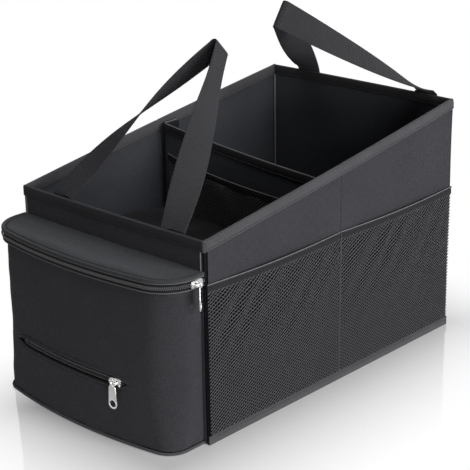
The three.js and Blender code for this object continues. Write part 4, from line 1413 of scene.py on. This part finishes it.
def pullForm(s, twist):
    middle, wire = (s["eyeInner"] + s["eyeOuter"]) / 2, (s["eyeOuter"] - s["eyeInner"]) / 2
    eye = sweepForm(around(wire, 10, tall=s["eyeWidth"] / 2),
                    ringFrames(middle, 20, yAxis, zAxis), True)
    top, foot, r = -s["eyeOuter"] + 0.6, -s["pullLength"], s["pullFoot"] / 2
    w = s["pullTop"] / 2
    neck = [(-w, top - 1.6), (-w + 1.6, top), (w - 1.6, top), (w, top - 1.6)]
    bulb = [(r * cos(a), foot + r + r * sin(a)) for a in np.linspace(0, -pi, 19)]
    holeZ = foot + r + 0.2
    tab = flatMetal(neck + bulb, s["pullSheet"], 0.3, [around(s["pullHole"], 20, (0, holeZ))])
    rim = ringFrames(s["pullHole"] + 0.5, 24, xAxis, zAxis, holeZ * zAxis)
    lip = sweepForm(around(0.45, 8, tall=0.7), rim, True)
    return joined(eye, placed(joined(tab, lip), (0, 0, 0), radians(twist)))


def placed(form, place, turn):
    turned = Matrix.Rotation(turn, 3, "Z")
    return np.array([turned @ Vector(p) for p in form[0]]) + np.array(place), form[1], form[2]


def buildSliders():
    s = slider
    for name, turn, twist, bodies in (("slot_zip", None, 0, ("slot_slider", "slot_pull")),
                                      ("lid_zip", pi / 2, 40, ("lid_slider", "lid_pull"))):
        low, high = nodeBox(f"{name}_slider")
        if turn is None:
            track = pocket["bow"] - pocket["wallInset"] - 0.5 + gap
            turn = asin(pocket["slotSliderX"] / track)
            place = (track * sin(turn), bowCentre - track * cos(turn), pocket["slotMiddle"])
        else:
            place = (halfWidth + gap, (low[1] + high[1]) / 2, (low[2] + high[2]) / 2)
        form = placed(sliderForm(s), place, turn)
        addPiece(f"{name}_runner", form, nickel, [f"{name}_slider"], bodies[0], 55)
        eye = np.array(place) + np.array([sin(turn), -cos(turn), 0]) * (s["plate"] + s["rise"])
        form = placed(pullForm(s, twist), eye, turn)
        addPiece(f"{name}_tab", form, nickel, [f"{name}_pull"], bodies[1], 55)


buildSliders()
print("sliders made")


# Webbing handles, each with a quarter turn in both legs up to a folded peak
handleCloth = {"width": 30.0, "sheet": 1.6, "middle": 6.0, "sewn": 42.0, "step": 3.0,
               "rise": 1.0, "fold": 4.0}
handles = {
    "front_handle": {"wall": -innerY, "lean": 1, "tilt": 47.5, "reach": 198, "spread": 154,
                     "bow": (9, -2), "lift": (0, -4), "twist": (1.33, 0.7), "ease": 1.0,
                     "pinch": 0.22, "pinchFrom": (0.15, 0.6),
                     "rim": -halfLength, "name": "front_strap"},
    "rear_handle": {"wall": halfLength, "lean": -1, "tilt": 56, "reach": 172, "spread": 166,
                    "bow": (3, -2), "lift": (-3, 0), "twist": (0.85, 0.72), "ease": 0.0,
                    "pinch": 0.0, "pinchFrom": (0.5, 0.5),
                    "rim": halfLength, "name": "rear_strap"},
}


def legStations(h, side, bow, lift, twist):
    # Stations of one leg as (place, width direction), from the sewn end to the fold
    c = handleCloth
    half = h["spread"] / 2
    rim = rimAt(h["rim"])
    sewnY = h["wall"] + gap + c["sheet"] / 2
    overRim = sewnY + tape + gap + 0.3
    tilt = radians(h["tilt"])
    up = np.array([0, h["lean"] * sin(tilt), cos(tilt)])
    across = np.cross(xAxis, up) * side * h["lean"]
    under = rim - rimDrop - c["step"]
    stations = [(np.array([side * half, y, z]), xAxis)
                for y, z in ((sewnY, under - c["sewn"]), (sewnY, under - c["sewn"] / 2),
                             (sewnY, under - c["step"]), (overRim, under + 2),
                             (overRim, rim + c["rise"] / 3))]
    root = np.array([0, overRim, rim + c["rise"]])
    for s in np.linspace(0, 1, 22):
        eased = s ** twist
        turn = (eased + h["ease"] * (eased * eased * (3 - 2 * eased) - eased)) * pi / 2
        x = (half - c["fold"]) * (1 - s) + c["fold"] + bow * sin(pi * s)
        place = root + xAxis * side * x + up * (h["reach"] - c["fold"]) * s
        place += across * lift * sin(pi * s)
        start = h["pinchFrom"][int(side > 0)]
        slim = 1 - h["pinch"] * smooth((s - start) / (0.9 - start))
        stations.append((place, (xAxis * cos(turn) - across * sin(turn)) * slim))
    for a in np.linspace(0, pi / 2, 7)[1:]:
        place = root + xAxis * side * c["fold"] * cos(a)
        place += up * (h["reach"] - c["fold"] + c["fold"] * sin(a))
        stations.append((place, -across * (1 - h["pinch"])))
    return stations


def strapForm(stations, width, sheet):
    frames = []
    for (place, across), t in zip(stations, headings([s[0] for s in stations])):
        face = np.cross(t, across)
        face /= np.linalg.norm(face)
        frames.append((place, np.cross(face, t) * np.linalg.norm(across), face))
    w, t = width / 2, sheet / 2
    xs = np.linspace(-1, 1, 13)
    upper = [(x * (w - 0.5), t * (1 - 0.25 * abs(x) ** 6)) for x in xs]
    profile = [(x, -z) for x, z in upper] + [(w, 0)] + upper[::-1] + [(-w, 0)]
    return sweepForm(profile, frames)


def buildHandles():
    c = handleCloth
    rows = []
    for node, h in handles.items():
        left, right = (legStations(h, side, h["bow"][k], h["lift"][k], h["twist"][k])
                       for k, side in enumerate((-1, 1)))
        # The right-hand leg is walked from the fold down, its width direction carried on
        stations = left + [(place, -across) for place, across in right[-2::-1]]
        stations = [(place + c["middle"] * xAxis, across) for place, across in stations]
        addPiece(h["name"], strapForm(stations, c["width"], c["sheet"]), webbingWeave,
                 [node])
        low = rimAt(h["rim"]) - rimDrop - c["step"] - c["sewn"] + 3
        outward = h["wall"] + gap + c["sheet"] + 0.1
        for side in (-1, 1):
            x = side * h["spread"] / 2 + c["middle"]
            w, top = c["width"] / 2 - 3, low + 24
            box = [(x - w, low), (x + w, low), (x + w, top), (x - w, top), (x - w, low)]
            cross = [[(x - w, low), (x + w, top)], [(x - w, top), (x + w, low)]]
            for line in [box, *cross]:
                rows.append(np.array([(a, outward, b) for a, b in line]))
    stitchRows("handle_stitches", rows, pitch=2.8, length=1.1)


buildHandles()
print("handles made")


# Stage: pale floor, studio light
stageSizes = {"floor": 8.0, "floorShade": (0.80, 0.80, 0.80), "glow": 0.22, "shine": 0.25,
              "footprint": (0.093, 0.222, 0.037, -0.025), "fade": 0.14,
              "ambient": 0.012, "aim": (0, 0, 0.12)}
lamps = {"key": ((2.35, 0.15, 0.97), (1.3, 1.0), 50.0),  # place, size, watts
         "top": ((0.2, -0.3, 2.3), (1.8, 1.8), 18.0),
         "fill": ((2.15, -1.4, 0.3), (1.4, 0.5), 14.0)}


def buildStage(s):
    half = s["floor"] / 2
    mesh = bpy.data.meshes.new("floor")
    mesh.from_pydata([(-half, -half, 0), (half, -half, 0), (half, half, 0), (-half, half, 0)],
                     [], [(0, 1, 2, 3)])
    board = newBoard("pale floor")
    x, y, _ = board.split(board.places("object"))
    halfX, halfY, middleX, middleY = s["footprint"]
    outX = ((x - middleX).absolute() - halfX).larger(0)
    outY = ((y - middleY).absolute() - halfY).larger(0)
    away = (outX * outX + outY * outY) ** 0.5 / s["fade"]
    near = 1 - away.smaller(1)
    seen = board.node("ShaderNodeLightPath")[0]
    plain = board.node("ShaderNodeBsdfDiffuse", {}, {"Color": (*s["floorShade"], 1)})[0]
    white = board.node("ShaderNodeEmission", {}, {"Color": (1, 1, 1, 1), "Strength": 1.0})[0]
    share = seen * (1 - near * near * (1 - s["glow"]))
    lit = board.node("ShaderNodeMixShader", {}, [share, plain, white])[0]
    gloss = board.node("ShaderNodeBsdfGlossy", {}, {"Color": (1, 1, 1, 1), "Roughness": 0.06})[0]
    mixed = board.node("ShaderNodeMixShader", {}, [near * s["shine"], lit, gloss])[0]
    mesh.materials.append(board.close(mixed))
    linked("floor", mesh)
    sky = Board(bpy.data.worlds.new("studio"))
    bpy.context.scene.world = sky.owner
    rays = sky.node("ShaderNodeLightPath")
    direct = rays[0].larger(rays[3])  # camera and glossy rays see the sky at full strength
    light = sky.node("ShaderNodeBackground", {}, {
        "Color": (1, 1, 1, 1), "Strength": direct * (1 - s["ambient"]) + s["ambient"]})[0]
    sky.close(light, "ShaderNodeOutputWorld")


def softBox(name, place, size, power):
    data = bpy.data.lights.new(name, "AREA")
    data.shape = "RECTANGLE"
    data.size, data.size_y = size
    data.energy = power
    lamp = linked(name, data)
    lamp.location = place
    aimed = Vector(stageSizes["aim"]) - Vector(place)
    lamp.rotation_euler = aimed.to_track_quat("-Z", "Y").to_euler()


buildStage(stageSizes)
for name, (place, size, power) in lamps.items():
    softBox(name, place, size, power)
bpy.context.scene.view_settings.view_transform = "Standard"
print("stage made")
